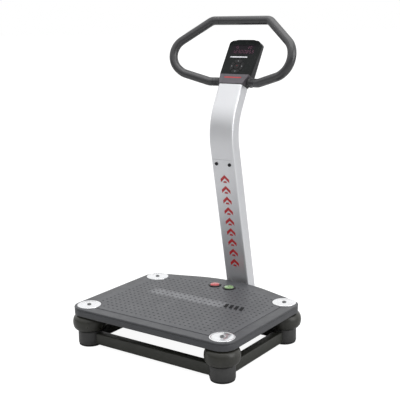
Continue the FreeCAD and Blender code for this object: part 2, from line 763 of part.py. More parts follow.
def makeDeckShell(core):
    """Moulded shell over the plate, open below, and the anti-slip mat let into its top."""
    inside = size.deck_top - size.deck_skin
    outer = deckSlab("shell_outer", core, size.deck_corner, size.deck_bottom, size.deck_top)

    def isTopEdge(edge):
        return all(abs(vertex.Z - float(size.deck_top)) < 1e-6 for vertex in edge.Vertexes)

    rounded = roundEdges("shell_rounded", outer, size.deck_edge, isTopEdge)
    hollow = deckSlab("shell_hollow", core, size.deck_corner - size.deck_wall, size.deck_bottom, inside)
    mat_low = size.deck_top - size.mat_recess
    mat_high = mat_low + size.mat_thickness
    growth = size.deck_corner - size.mat_margin
    recess = matShape(core, "recess", growth, mat_low, mat_high)
    holes = cornerRods("shell_hole", size.bolt_radius + size.fit_gap, inside, size.deck_top)
    holes += buttonRods("shell_button", size.bezel_barrel + size.fit_gap, inside, size.deck_top)
    keep(cut("deck_cover", rounded, hollow, recess, *holes), "deck_cover")
    keep(matShape(core, "mat", growth, mat_low, mat_high), "deck_mat")


def makeDiscs():
    """Chromed discs at the corners and the bolts through them into the springs."""
    top = size.deck_top + size.disc_thickness
    discs = []
    bolts = []
    for corner, side, end in CORNERS:
        x, y = side * size.post_x, end * size.post_y
        edge = size.disc_thickness / 2
        profile = [(size.bolt_radius + size.fit_gap, 0), (size.disc_radius, 0), (size.disc_radius, edge),
                   (size.disc_radius - edge, size.disc_thickness),
                   (size.bolt_radius + size.fit_gap, size.disc_thickness)]
        discs.append(place(turnedBody(corner + "_disc", profile), x, y, size.deck_top))
        shank = rod(corner + "_shank", size.bolt_radius, top - size.bolt_length, top, x, y)
        head = rod(corner + "_head", size.bolt_head_radius, top, top + size.bolt_head, x, y)
        socket = hexPrism(corner + "_hex", size.hex_radius, top + size.bolt_head / 3, top + size.bolt_head,
                          x, y)
        bolts.append(cut(corner + "_disc_bolt", fuse(corner + "_bolt_solid", shank, head), socket))
    keep(group("corner_discs", *discs), "corner_discs")
    keep(group("disc_bolts", *bolts), "disc_bolts")


# ---- push buttons ----------------------------------------------------------------------

def makeButtons():
    """Stop button on the left, start button on the right, each in a ring over its switch."""
    bezels = []
    switches = []
    bore = size.button_radius + size.button_gap
    floor_low = size.deck_top - size.bezel_depth
    floor_high = floor_low + size.bezel_floor
    crown = size.deck_top + size.button_height
    for hand, label, side in (("right", "start", 1), ("left", "stop", -1)):
        x, y = side * size.button_x, size.button_y
        top = size.deck_top + size.bezel_height
        profile = [(size.stem_radius + size.fit_gap, floor_low), (size.bezel_barrel, floor_low),
                   (size.bezel_barrel, size.deck_top), (size.bezel_radius, size.deck_top),
                   (size.bezel_radius, top - size.bezel_chamfer),
                   (size.bezel_radius - size.bezel_chamfer, top), (bore, top),
                   (bore, floor_high), (size.stem_radius + size.fit_gap, floor_high)]
        bezels.append(place(turnedBody(label + "_bezel", profile), x, y, 0))
        rim = crown - size.button_dome
        dome = (size.button_radius * size.button_radius + size.button_dome * size.button_dome) \
            / (size.button_dome * 2)
        skirt = size.deck_top - size.button_skirt
        cap_profile = [(0, floor_low - size.stem_reach), (size.stem_radius, floor_low - size.stem_reach),
                       (size.stem_radius, skirt), (size.button_radius, skirt),
                       (size.button_radius, rim, dome), (0, crown)]
        cap = place(turnedBody(label + "_button", cap_profile), x, y, 0)
        keep(cap, label + "_button")
        switch_top = floor_low - size.stem_reach - size.button_travel - size.fit_gap
        half = size.switch_width / 2
        deep = size.switch_depth / 2
        body = box(label + "_switch_block", (x - half, x + half), (y - deep, y + deep),
                   (switch_top - size.switch_height, switch_top))
        legs = []
        for hand_sign in (1, -1):
            edge = x + hand_sign * (half - size.switch_leg / 2)
            legs.append(box("%s_leg_%d" % (label, hand_sign),
                            (edge - size.switch_leg / 2, edge + size.switch_leg / 2), (y - deep, y + deep),
                            (switch_top, floor_low)))
        switches.append(fuse(label + "_switch", body, *legs))
    keep(group("button_bezels", *bezels), "button_bezels")
    keep(group("button_switches", *switches), "button_switches")


# ---- vibration motors ------------------------------------------------------------------

def makeMotorCase(hand, x):
    """Motor case with its stator and a mounting foot against the steel plate."""
    y, z = size.motor_y, size.motor_z
    half = size.motor_length / 2
    plate_low = size.deck_top - size.deck_skin - size.plate_thickness
    shell = rodAlongY(hand + "_case_outside", size.motor_radius, y - half, y + half, x, z)
    foot = box(hand + "_case_foot", (x - size.motor_foot_width / 2, x + size.motor_foot_width / 2),
               (y - size.motor_foot_length / 2, y + size.motor_foot_length / 2),
               (plate_low - size.motor_foot, plate_low))
    web = box(hand + "_case_web", (x - size.motor_web, x + size.motor_web),
              (y - size.motor_foot_length / 2, y + size.motor_foot_length / 2),
              (z, plate_low - size.motor_foot))
    stator = size.stator_length / 2
    inner = size.motor_radius - size.motor_wall
    bore = size.rotor_radius + size.air_gap
    tools = [rodAlongY(hand + "_case_front", inner, y - half, y - stator, x, z),
             rodAlongY(hand + "_case_rear", inner, y + stator, y + half, x, z),
             rodAlongY(hand + "_case_bore", bore, y - stator, y + stator, x, z)]
    for x_sign in (1, -1):
        for y_sign in (1, -1):
            tools.append(rod("%s_case_hole_%d_%d" % (hand, x_sign, y_sign),
                             size.motor_bolt_radius + size.fit_gap, plate_low - size.motor_foot, plate_low,
                             x + x_sign * size.motor_bolt_x, y + y_sign * size.motor_bolt_y))
    solid = fuse(hand + "_case_solid", shell, foot, web)
    keep(cut(hand + "_motor_case", solid, *tools), hand + "_motor_case")


def makeMotorRotor(hand, x):
    """Shaft with its rotor core, and the two eccentric weights clamped on it."""
    y, z = size.motor_y, size.motor_z
    shaft_half = size.motor_length / 2 - size.shaft_end_gap
    core_half = size.rotor_length / 2
    shaft = rodAlongY(hand + "_shaft", size.shaft_radius, y - shaft_half, y + shaft_half, x, z)
    core = rodAlongY(hand + "_core", size.rotor_radius, y - core_half, y + core_half, x, z)
    keep(fuse(hand + "_rotor_solid", shaft, core), hand + "_rotor")
    reach = size.motor_radius - size.motor_wall - size.weight_clearance
    weights = []
    for end in (1, -1):
        near = size.stator_length / 2 + size.weight_gap
        far = near + size.weight_width
        front, rear = (y + near, y + far) if end > 0 else (y - far, y - near)
        name = "%s_weight_%d" % (hand, end)
        sector = cut(name + "_sector", rodAlongY(name + "_disc", reach, front, rear, x, z),
                     box(name + "_upper", (x - reach, x + reach), (front, rear), (z, z + reach)))
        hub = rodAlongY(name + "_hub", size.weight_hub, front, rear, x, z)
        bore = rodAlongY(name + "_bore", size.shaft_radius, front, rear, x, z)
        weights.append(cut(name, fuse(name + "_solid", sector, hub), bore))
    keep(group(hand + "_weights", *weights), hand + "_weights")


def motorEnds(hand, x):
    """The two end covers and bearings of one motor."""
    y, z = size.motor_y, size.motor_z
    half = size.motor_length / 2
    bearings = []
    covers = []
    for end in (1, -1):
        name = "%s_end_%d" % (hand, end)

        def span(near, far):
            return (y + near, y + far) if end > 0 else (y - far, y - near)

        inner_face = half - size.bearing_width
        plate = rodAlongY(name + "_plate", size.motor_radius, *span(half, half + size.cover_thickness), x, z)
        hub = rodAlongY(name + "_hub", size.cover_hub_radius, *span(inner_face, half), x, z)
        seat = rodAlongY(name + "_seat", size.bearing_radius, *span(inner_face, half), x, z)
        covers.append(cut(name + "_cover", fuse(name + "_cover_solid", plate, hub), seat))
        ring = rodAlongY(name + "_ring", size.bearing_radius, *span(inner_face, half), x, z)
        bore = rodAlongY(name + "_ring_bore", size.shaft_radius + size.shaft_running_gap,
                         *span(inner_face, half), x, z)
        bearings.append(cut(name + "_bearing", ring, bore))
    return covers, bearings


def makeMotors():
    """Two motors that turn opposite ways, so that the deck moves up and down only."""
    covers = []
    bearings = []
    bolts = []
    plate_high = size.deck_top - size.deck_skin
    foot_low = plate_high - size.plate_thickness - size.motor_foot
    for hand, side in RIGHT_AND_LEFT:
        x = side * size.motor_x
        makeMotorCase(hand, x)
        makeMotorRotor(hand, x)
        ends = motorEnds(hand, x)
        covers += ends[0]
        bearings += ends[1]
        for x_sign in (1, -1):
            for y_sign in (1, -1):
                name = "%s_foot_bolt_%d_%d" % (hand, x_sign, y_sign)
                spot = (x + x_sign * size.motor_bolt_x, size.motor_y + y_sign * size.motor_bolt_y)
                shank = rod(name + "_shank", size.motor_bolt_radius, foot_low, plate_high, *spot)
                head = hexPrism(name + "_head", size.motor_bolt_radius * size.nut_share,
                                foot_low - size.motor_bolt_head, foot_low, *spot)
                bolts.append(fuse(name, shank, head))
    keep(group("motor_covers", *covers), "motor_covers")
    keep(group("motor_bearings", *bearings), "motor_bearings")
    keep(group("motor_bolts", *bolts), "motor_bolts")


# ---- column ----------------------------------------------------------------------------

def jointPoint():
    """The column's joint, where the lower and the upper column meet, on their axis."""
    y = size.bend_y + size.joint_below_bend * sine(size.lower_lean)
    z = size.bend_z - size.joint_below_bend * cosine(size.lower_lean)
    return y, z


def footDrop():
    """Length of the lower column's axis from the joint down to its seat."""
    return (size.bend_z - size.seat_z) / cosine(size.lower_lean) - size.joint_below_bend


def footY():
    """Where the column's axis meets its seat."""
    return size.bend_y + (size.bend_z - size.seat_z) * tangent(size.lower_lean)


def onColumn(piece):
    """Puts a piece drawn in the lower column's frame, joint at its origin, in its place."""
    y, z = jointPoint()
    return place(piece, 0, y, z, X_AXIS, size.lower_lean)


def roundedSection(inset):
    """Corner points of the column's rounded section, drawn smaller by an inset."""
    x = size.column_width / 2 - inset
    y = size.column_depth / 2 - inset
    r = size.column_corner - inset
    return [(r - x, -y), (x - r, -y, r), (x, r - y), (x, y - r, r), (x - r, y), (r - x, y, r), (-x, y - r),
            (-x, r - y, r)]


def hollowColumn(name, inset, wall, low, high):
    """A straight rounded tube along its body's Z axis."""
    body, pad = padBody(name, roundedSection(inset), high - low)
    pad.Profile[0].AttachmentOffset = FreeCAD.Placement()
    bind(pad.Profile[0], "AttachmentOffset.Base.z", low)
    inner = drawOutline(bodySketch(body, name + "_bore", "XY_Plane"), roundedSection(inset + wall))
    bind(inner, "AttachmentOffset.Base.z", low)
    doc.recompute()
    before = body.Shape.Volume
    pocket = body.newObject("PartDesign::Pocket", name + "_hollow")
    pocket.Profile = inner
    pocket.Type = "ThroughAll"
    pocket.Reversed = True
    doc.recompute()
    if body.Shape.Volume >= before:
        raise RuntimeError("%s is not hollow" % name)
    return body


def jointBoltRods(name, radius, near, far):
    """Cylinders for the joint bolts, front and back, between two depths from the axis."""
    z = -size.joint_bolt_drop
    rods = []
    for hand, side in RIGHT_AND_LEFT:
        x = side * size.joint_bolt_x
        rods.append(rodAlongY("%s_front_%s" % (name, hand), radius, -far, -near, x, z))
        rods.append(rodAlongY("%s_back_%s" % (name, hand), radius, near, far, x, z))
    return rods


def makeLowerColumn():
    """Straight lower column with its foot flange and openings for the inlet and the switch."""
    drop = footDrop()
    spare = size.column_depth
    low = -drop - spare
    tube = hollowColumn("lower_tube", plain(0), size.column_wall, low, plain(0))
    half = size.column_depth / 2
    holes = jointBoltRods("lower_hole", size.joint_bolt_radius + size.fit_gap, half - size.column_wall, half)
    gap = size.fit_gap
    inlet_z = size.inlet_rise - drop
    switch_z = inlet_z + size.switch_rise
    holes.append(box("inlet_opening", (-size.inlet_width / 2 - gap, size.inlet_width / 2 + gap),
                     (half - size.column_wall, half),
                     (inlet_z - size.inlet_height / 2 - gap, inlet_z + size.inlet_height / 2 + gap)))
    wide, tall = switchBarrel()
    holes.append(box("switch_opening", (-wide - gap, wide + gap), (half - size.column_wall, half),
                     (switch_z - tall - gap, switch_z + tall + gap)))
    pierced = onColumn(cut("lower_pierced", tube, *holes))
    below = box("below_seat", (-size.column_width, size.column_width),
                (footY() - spare * 2, footY() + spare * 2), (size.seat_z - spare * 2, size.seat_z))
    shortened = cut("lower_shortened", pierced, below)
    flange = box("foot_flange", (-size.flange_width / 2, size.flange_width / 2),
                 (footY() - size.flange_front, footY() + size.flange_back),
                 (size.seat_z, size.seat_z + size.flange_thickness))
    bolt_holes = flangeRods("flange_hole", size.flange_bolt_radius + size.fit_gap, size.seat_z,
                            size.seat_z + size.flange_thickness)
    keep(fuse("lower_column", shortened, cut("flange_drilled", flange, *bolt_holes)), "lower_column")


def flangeSpots():
    """Where the flange's four bolts stand."""
    return [(side * size.flange_bolt_x, footY() + shift) for hand, side in RIGHT_AND_LEFT
            for shift in (-size.flange_bolt_front, size.flange_bolt_back)]


def flangeRods(name, radius, low, high):
    """Four upright cylinders on the flange's bolt pattern."""
    return [rod("%s_%d" % (name, number), radius, low, high, *spot)
            for number, spot in enumerate(flangeSpots())]


def makeUpperColumn():
    """Bent upper column, swept from the joint to the neck, with ears for the handlebar."""
    turn = size.lower_lean + size.neck_lean
    shortening = size.bend_radius * tangent(turn / 2)
    first = size.joint_below_bend - shortening
    last = size.neck_run - shortening
    arc_y = size.bend_radius * (1 - cosine(turn))
    arc_z = first + size.bend_radius * sine(turn)
    body = newBody("upper_tube")
    spine = bodySketch(body, "upper_path", "YZ_Plane")
    drawOutline(spine, [(0, 0), (0, first, -size.bend_radius), (arc_y, arc_z),
                        (arc_y + last * sine(turn), arc_z + last * cosine(turn))], closed=False)
    outside = drawOutline(bodySketch(body, "upper_outside", "XY_Plane"), roundedSection(plain(0)))
    doc.recompute()
    stretches = ["Edge%d" % number for number in range(1, len(spine.Shape.Edges) + 1)]
    pipe = body.newObject("PartDesign::AdditivePipe", "upper_pipe")
    pipe.Profile = outside
    pipe.Spine = (spine, stretches)
    doc.recompute()
    before = body.Shape.Volume
    inside = drawOutline(bodySketch(body, "upper_inside", "XY_Plane"), roundedSection(size.column_wall))
    hollow = body.newObject("PartDesign::SubtractivePipe", "upper_hollow")
    hollow.Profile = inside
    hollow.Spine = (spine, stretches)
    doc.recompute()
    if body.Shape.Volume >= before:
        raise RuntimeError("the upper column is not hollow")
    onColumn(body)
    ears = []
    deep = size.column_depth / 2 - size.column_wall
    high = size.mouth_rise + size.tube_radius + size.ear_margin
    for hand, side in RIGHT_AND_LEFT:
        near, far = side * size.ear_x, side * (size.ear_x + size.ear_thickness)
        across = (near, far) if side > 0 else (far, near)
        ears.append(box("ear_root_" + hand, across, (-deep, deep), (-size.ear_below, plain(0))))
        ears.append(box("ear_" + hand, across, (-size.ear_front, size.ear_rear),
                        (-size.ear_root_height, high)))
    block = cut("ears", fuse("ear_pair", *ears), alongX("ear_hole", size.tube_radius, size.column_width / 2,
                                                       size.mouth_depth, size.mouth_rise))
    keep(fuse("upper_column", body, inNeck(block)), "upper_column")


def alongX(name, radius, half, y, z):
    """A cylinder that lies from side to side, centred on x = 0."""
    cylinder = doc.addObject("Part::Cylinder", name)
    bind(cylinder, "Radius", radius)
    bind(cylinder, "Height", plain(half) * 2)
    cylinder.Placement = FreeCAD.Placement(FreeCAD.Vector(0, 0, 0), FreeCAD.Rotation(Y_AXIS, 90))
    for letter, dim in (("x", -half), ("y", y), ("z", z)):
        bind(cylinder, "Placement.Base.%s" % letter, dim)
    return cylinder


def inNeck(piece):
    """Puts a piece drawn in the neck's frame, the column's top at its origin, in its place."""
    y = size.bend_y + size.neck_run * sine(size.neck_lean)
    z = size.bend_z + size.neck_run * cosine(size.neck_lean)
    return place(piece, 0, y, z, X_AXIS, -size.neck_lean)


def makeColumnJoint():
    """Steel sleeve inside the joint, its bolts, and the gasket under the console."""
    inset = size.column_wall + size.fit_gap
    half = size.column_depth / 2
    sleeve = hollowColumn("sleeve_tube", inset, size.sleeve_wall, -size.sleeve_below, size.sleeve_above)
    holes = jointBoltRods("sleeve_hole", size.joint_bolt_radius + size.fit_gap,
                          half - inset - size.sleeve_wall, half - inset)
    keep(onColumn(cut("column_sleeve", sleeve, *holes)), "column_sleeve")
    inner = half - inset - size.sleeve_wall
    shanks = jointBoltRods("joint_shank", size.joint_bolt_radius, inner - size.joint_head, half)
    heads = jointBoltRods("joint_head", size.joint_head_radius, half, half + size.joint_head)
    nuts = jointBoltRods("joint_nut", size.joint_head_radius, inner - size.joint_head * 2, inner)
    bolts = [fuse("joint_bolt_%d" % number, *parts) for number, parts in enumerate(zip(shanks, heads, nuts))]
    keep(onColumn(group("joint_bolts", *bolts)), "joint_bolts")
    ring = hollowColumn("gasket_ring", size.gasket_inset, size.column_wall * 2, plain(0), size.gasket_height)
    keep(inNeck(group("neck_gasket", ring)), "neck_gasket")


def makeCarrier():
    """Two arms from the rear rail and the seat plate that carries the column."""
    front = size.post_y + size.rail_width / 2
    arm_end = footY() + size.flange_back + size.arm_spare
    arm_high = size.seat_z - size.seat_thickness
    wall = size.rail_wall
    half = size.arm_width / 2
    arms = []
    hollows = []
    feet = []
    foot_high = size.arm_bottom
    for hand, side in RIGHT_AND_LEFT:
        x = side * size.arm_x
        arms.append(box("arm_" + hand, (x - half, x + half), (front, arm_end),
                        (size.arm_bottom, arm_high)))
        hollows.append(box("arm_hollow_" + hand, (x - half + wall, x + half - wall),
                           (front, arm_end - wall), (size.arm_bottom + wall, arm_high - wall)))
        feet.append(rod("rear_foot_" + hand, size.rear_foot_radius, 0, foot_high, x,
                        arm_end - size.rear_foot_inset))
    arms_open = cut("arms_open", fuse("arms", *arms), *hollows)
    seat = box("seat", (-size.flange_width / 2, size.flange_width / 2),
               (footY() - size.flange_front, footY() + size.flange_back), (arm_high, size.seat_z))
    holes = flangeRods("seat_hole", size.flange_bolt_radius + size.fit_gap, arm_high - wall, size.seat_z)
    keep(cut("column_carrier", fuse("carrier_solid", arms_open, seat), *holes), "column_carrier")
    keep(group("carrier_feet", *feet), "carrier_feet")
    top = size.seat_z + size.flange_thickness
    under = arm_high - wall
    reach = size.flange_bolt_radius * size.nut_share
    thick = size.flange_bolt_head
    bolts = []
    for number, spot in enumerate(flangeSpots()):
        shank = rod("flange_shank_%d" % number, size.flange_bolt_radius, under, top, *spot)
        head = hexPrism("flange_head_%d" % number, reach, top, top + thick, *spot)
        nut = hexPrism("flange_nut_%d" % number, reach, under - thick, under, *spot)
        bolts.append(fuse("flange_bolt_%d" % number, shank, head, nut))
    keep(group("flange_bolts", *bolts), "flange_bolts")


# ---- mains inlet, power switch and drive board -----------------------------------------

def switchBarrel():
    """Half width and half height of the power switch's barrel."""
    wide = size.rocker_width / 2 + size.rocker_gap + size.inlet_wall
    tall = size.rocker_radius + size.rocker_gap + size.inlet_wall
    return wide, tall


def makeInlet():
    """Three-pin mains inlet in the column's back."""
    back = size.column_depth / 2
    z = size.inlet_rise - footDrop()
    wide, tall = size.inlet_width / 2, size.inlet_height / 2
    rim, wall = size.inlet_rim, size.inlet_wall
    face = back + size.inlet_rim_thickness
    barrel = box("inlet_barrel", (-wide, wide), (back - size.inlet_depth, back), (z - tall, z + tall))
    flange = roundedBlock("inlet_flange", (-wide - rim, wide + rim), (back, face),
                          (z - tall - rim, z + tall + rim), rim / 2, Y_AXIS)
    well = box("inlet_well", (wall - wide, wide - wall), (back - size.inlet_depth + wall, face),
               (z - tall + wall, z + tall - wall))
    blades = []
    for number, x in enumerate((-wide / 2, plain(0), wide / 2)):
        lift = wall if number == 1 else -wall
        blades.append(box("inlet_blade_%d" % number, (x - size.blade_half, x + size.blade_half),
                          (back - size.inlet_depth + wall, back - wall),
                          (z + lift - size.blade_reach, z + lift + size.blade_reach)))
    hollow = cut("inlet_hollow", fuse("inlet_solid", barrel, flange), well)
    keep(onColumn(fuse("power_inlet", hollow, *blades)), "power_inlet")


def makePowerSwitch():
    """Rocker switch above the inlet; the rocker rests tilted to off."""
    back = size.column_depth / 2
    z = size.inlet_rise - footDrop() + size.switch_rise
    wide, tall = switchBarrel()
    rim, wall = size.inlet_rim, size.inlet_wall
    face = back + size.inlet_rim_thickness
    pin_y = face - size.rocker_proud
    hole_x = size.rocker_width / 2 + size.rocker_gap
    hole_z = size.rocker_radius + size.rocker_gap
    depth = size.rocker_radius + size.rocker_gap
    barrel = box("switch_barrel", (-wide, wide), (pin_y - depth - wall, back), (z - tall, z + tall))
    flange = roundedBlock("switch_flange", (-wide - rim / 2, wide + rim / 2), (back, face),
                          (z - tall - rim / 2, z + tall + rim / 2), rim / 2, Y_AXIS)
    well = box("switch_well", (-hole_x, hole_x), (pin_y - depth, face), (z - hole_z, z + hole_z))
    pin_hole = alongX("switch_pin_hole", size.rocker_pin + size.rocker_pin_gap,
                      hole_x + size.rocker_pin_length, pin_y, z)
    keep(onColumn(cut("switch_frame", fuse("switch_solid", barrel, flange), well, pin_hole)), "switch_frame")
    drum = alongX("rocker_drum", size.rocker_radius, size.rocker_width / 2, 0, 0)
    slab = box("rocker_slab", (-size.rocker_width, size.rocker_width),
               (-size.rocker_depth, size.rocker_proud + size.rocker_crown),
               (-size.rocker_radius, size.rocker_radius))
    pins = alongX("rocker_pins", size.rocker_pin,
                  size.rocker_width / 2 + size.rocker_pin_length - size.fit_gap, 0, 0)
    rocker = fuse("rocker_solid", common("rocker_cap", drum, slab), pins)
    rocker.Placement = FreeCAD.Placement(FreeCAD.Vector(0, 0, 0), FreeCAD.Rotation(X_AXIS, 0))
    place(rocker, 0, pin_y, z, X_AXIS, size.rocker_swing / 2)
    keep(onColumn(group("power_rocker", rocker)), "power_rocker")


def makeDriveBoard():
    """Motor drive board on four standoffs against the back wall of the column."""
    y = size.board_depth
    low = size.board_rise - footDrop()
    high = low + size.board_length
    half = size.board_width / 2
    board = box("drive_plate", (-half, half), (y, y + size.board_thickness), (low, high))
    wall_y = size.column_depth / 2 - size.column_wall
    parts = [board]
    inset = size.board_inset
    for hand, side in RIGHT_AND_LEFT:
        for name, z in (("low", low + inset), ("high", high - inset)):
            parts.append(rodAlongY("standoff_%s_%s" % (hand, name), size.standoff_radius,
                                   y + size.board_thickness, wall_y, side * (half - inset), z))
        parts.append(rodAlongY("capacitor_" + hand, size.capacitor_radius, y - size.capacitor_height, y,
                               side * (half / 2), low + size.capacitor_rise))
    edge = half - size.part_inset
    parts.append(box("heat_sink", (-edge, edge), (y - size.sink_height, y),
                     (low + size.sink_low, low + size.sink_high)))
    parts.append(box("mains_filter", (-edge, 0), (y - size.filter_height, y),
                     (low + size.filter_low, low + size.filter_high)))
    keep(onColumn(fuse("drive_board", *parts)), "drive_board")


# ---- console ---------------------------------------------------------------------------

def faceTilt():
    """Lean of the console's face from the neck axis, degrees."""
    return math.degrees(math.atan2(float(size.face_high_depth - size.face_low_depth),
                                   float(size.face_high_rise - size.face_low_rise)))


def faceInNeck():
    """The face's frame in the neck's: origin at its lower edge, +Z up the face, +Y into it."""
    spot = FreeCAD.Vector(0, float(size.face_low_depth), float(size.face_low_rise))
    return FreeCAD.Placement(spot, FreeCAD.Rotation(X_AXIS, -faceTilt()))


def neckInWorld():
    lean = math.radians(float(size.neck_lean))
    spot = FreeCAD.Vector(0, float(size.bend_y) + float(size.neck_run) * math.sin(lean),
                          float(size.bend_z) + float(size.neck_run) * math.cos(lean))
    return FreeCAD.Placement(spot, FreeCAD.Rotation(X_AXIS, -float(size.neck_lean)))


def onFace(piece):
    """Puts a piece drawn in the face's frame in its place."""
    piece.Placement = neckInWorld().multiply(faceInNeck())
    return piece


def consoleSide():
    """Side outline of the console in the neck's frame: depth across, rise up."""
    low = size.gasket_height
    half = size.column_depth / 2
    hood_back = size.console_rise - size.hood_back_drop
    hood_front = size.console_rise - size.hood_front_drop
    slope = (size.face_high_depth - size.face_low_depth) / (size.face_high_rise - size.face_low_rise)
    front_top = size.face_high_depth + (hood_front - size.face_high_rise) * slope
    return [(-half, low), (half, low), (size.console_back, size.back_flare_rise),
            (size.console_back, hood_back, size.hood_radius), (front_top, hood_front),
            (size.face_low_depth, size.face_low_rise)]


def consoleFront():
    """Front outline of the console in the neck's frame."""
    low = size.gasket_height
    half = size.column_width / 2
    crown = size.console_rise - size.crown_drop
    return [(-half, low), (half, low), (size.face_low_half, size.face_low_rise),
            (size.face_high_half, size.shoulder_rise, size.corner_radius),
            (size.top_half, crown, size.top_radius),
            (-size.top_half, crown, size.corner_radius), (-size.face_high_half, size.shoulder_rise),
            (-size.face_low_half, size.face_low_rise)]


def consoleBlock(name, inset=None):
    """Solid console shape, drawn smaller by an inset where one is given."""
    side = drawOutline(freeSketch(name + "_side", "YZ"), consoleSide())
    front = drawOutline(freeSketch(name + "_front", "XZ"), consoleFront())
    if inset is not None:
        side = offset(name + "_side_inset", side, -inset)
        front = offset(name + "_front_inset", front, -inset)
    reach = size.face_high_half + size.column_depth
    across = extrude(name + "_across", side, X_AXIS, reach, reach)
    through = extrude(name + "_through", front, Y_AXIS, reach, reach)
    return common(name + "_block", across, through)


def splitZone():
    """Everything ahead of the console's parting plane, in the neck's frame."""
    slope = (size.face_high_depth - size.face_low_depth) / (size.face_high_rise - size.face_low_rise)
    far = size.console_rise
    start = size.face_low_depth + size.shell_split

    def plane(rise):
        return start + (rise - size.face_low_rise) * slope

    zone = freeSketch("split_zone", "YZ")
    drawOutline(zone, [(-far, -far), (plane(-far), -far), (plane(far * 2), far * 2), (-far, far * 2)])
    return extrude("split_block", zone, X_AXIS, far, far)


def keyPrism(name, angle, grow, front, back):
    """One key's shape: a quarter of the ring with a parallel web left on each side."""
    ring = cut(name + "_ring", rodAlongY(name + "_outer", size.pad_radius + grow, front, back),
               rodAlongY(name + "_inner", size.key_inner - grow, front, back))
    apex = (size.key_slit / 2 - grow) * math.sqrt(2)
    reach = size.pad_radius * 2
    wedge = freeSketch(name + "_wedge", "XZ")
    drawOutline(wedge, [(0, apex), (reach, apex + reach), (-reach, apex + reach)])
    block = extrude(name + "_quarter", wedge, Y_AXIS, back, -front)
    block.Placement = FreeCAD.Placement(FreeCAD.Vector(0, 0, 0), FreeCAD.Rotation(Y_AXIS, angle))
    key = common(name, ring, block)
    return place(key, 0, 0, size.pad_rise)


KEYS = [("up_key", 0), ("right_key", 90), ("down_key", 180), ("left_key", -90)]


def keyOpenings():
    """Openings in the face for the five keys, in the face's frame."""
    front, back = -size.pad_radius, size.pad_radius
    tools = [keyPrism(label + "_opening", angle, size.key_gap, front, back) for label, angle in KEYS]
    tools.append(rodAlongY("centre_opening", size.key_centre + size.key_gap, front, back, 0, size.pad_rise))
    return tools


def handleTools():
    """Clearance for the handlebar's tube and collars through the console's sides."""
    bore = sweptRod(loopPoints("mouth"), size.tube_radius + size.fit_gap)
    flanges = [collarRod(side, size.collar_flange + size.fit_gap, size.collar_start, size.collar_end)
               for side in (1, -1)]
    tool = doc.addObject("Part::Feature", "handle_clearance")
    tool.Shape = bore.fuse(flanges)
    return tool


def screwRods(name, radius, near, far):
    """Cylinders for the four console screws between two depths, in the neck's frame."""
    rods = []
    for hand, side in RIGHT_AND_LEFT:
        for level, z in (("low", size.screw_low), ("high", size.screw_high)):
            rods.append(rodAlongY("%s_%s_%s" % (name, hand, level), radius, near, far,
                                  side * size.screw_x, z))
    return rods


def makeConsoleShells():
    """Back shell, face shell and neck cover, cut from one hollow console shape."""
    outer = consoleBlock("console")
    wall = size.console_wall

    def isUprightEdge(edge):
        """The edges that run up the console's corners."""
        rise = abs(edge.Vertexes[-1].Z - edge.Vertexes[0].Z)
        return isinstance(edge.Curve, Part.Line) and rise > float(size.console_edge) * 2

    rounded = roundEdges("console_rounded", outer, size.console_edge, isUprightEdge)
    inner = consoleBlock("hollow", wall)
    deep = size.column_depth / 2 - size.column_wall
    wide = size.column_width / 2 - size.column_wall
    mouth = box("console_mouth", (-wide, wide), (-deep, deep), (plain(0), size.gasket_height + wall * 2))
    shell = cut("console_shell", rounded, inner, mouth, handleTools())
    zone = splitZone()
    front = common("console_front_part", shell, zone)
    rear = cut("console_rear_part", shell, zone)
    reach = size.console_rise
    upper = box("face_zone", (-reach, reach), (-reach, reach), (size.face_low_rise, reach * 2))
    keep(inNeck(cut("neck_cover", front, upper)), "neck_cover")
    window = size.window_half
    ledge = size.window_ledge
    thick = size.window_thickness
    openings = keyOpenings()
    openings.append(box("window_recess", (-window, window), (-thick, thick),
                        (size.window_low, size.window_high)))
    openings.append(box("window_hole", (ledge - window, window - ledge), (-thick, wall * 3),
                        (size.window_low + ledge, size.window_high - ledge)))
    strip = size.strip_height / 2
    openings.append(box("strip_recess", (-size.strip_half, size.strip_half), (-thick, size.strip_sunk),
                        (size.strip_rise - strip, size.strip_rise + strip)))
    face_tools = fuse("face_tools", *openings)
    face_tools.Placement = faceInNeck()
    face_part = common("face_part", front, upper)
    keep(inNeck(cut("console_face", face_part, face_tools)), "console_face")
    back = size.console_back
    bosses = screwRods("screw_boss", size.screw_boss, back - size.screw_length - wall, back)
    holes = screwRods("screw_hole", size.screw_radius, back - size.screw_length - wall * 2, back)
    keep(inNeck(cut("console_back", fuse("console_back_solid", rear, *bosses), *holes)), "console_back")
    shanks = screwRods("screw_shank", size.screw_radius, back - size.screw_length, back)
    heads = screwRods("screw_head", size.screw_head, back, back + size.screw_radius)
    screws = [fuse("console_screw_%d" % number, *pair) for number, pair in enumerate(zip(shanks, heads))]
    keep(inNeck(group("console_screws", *screws)), "console_screws")


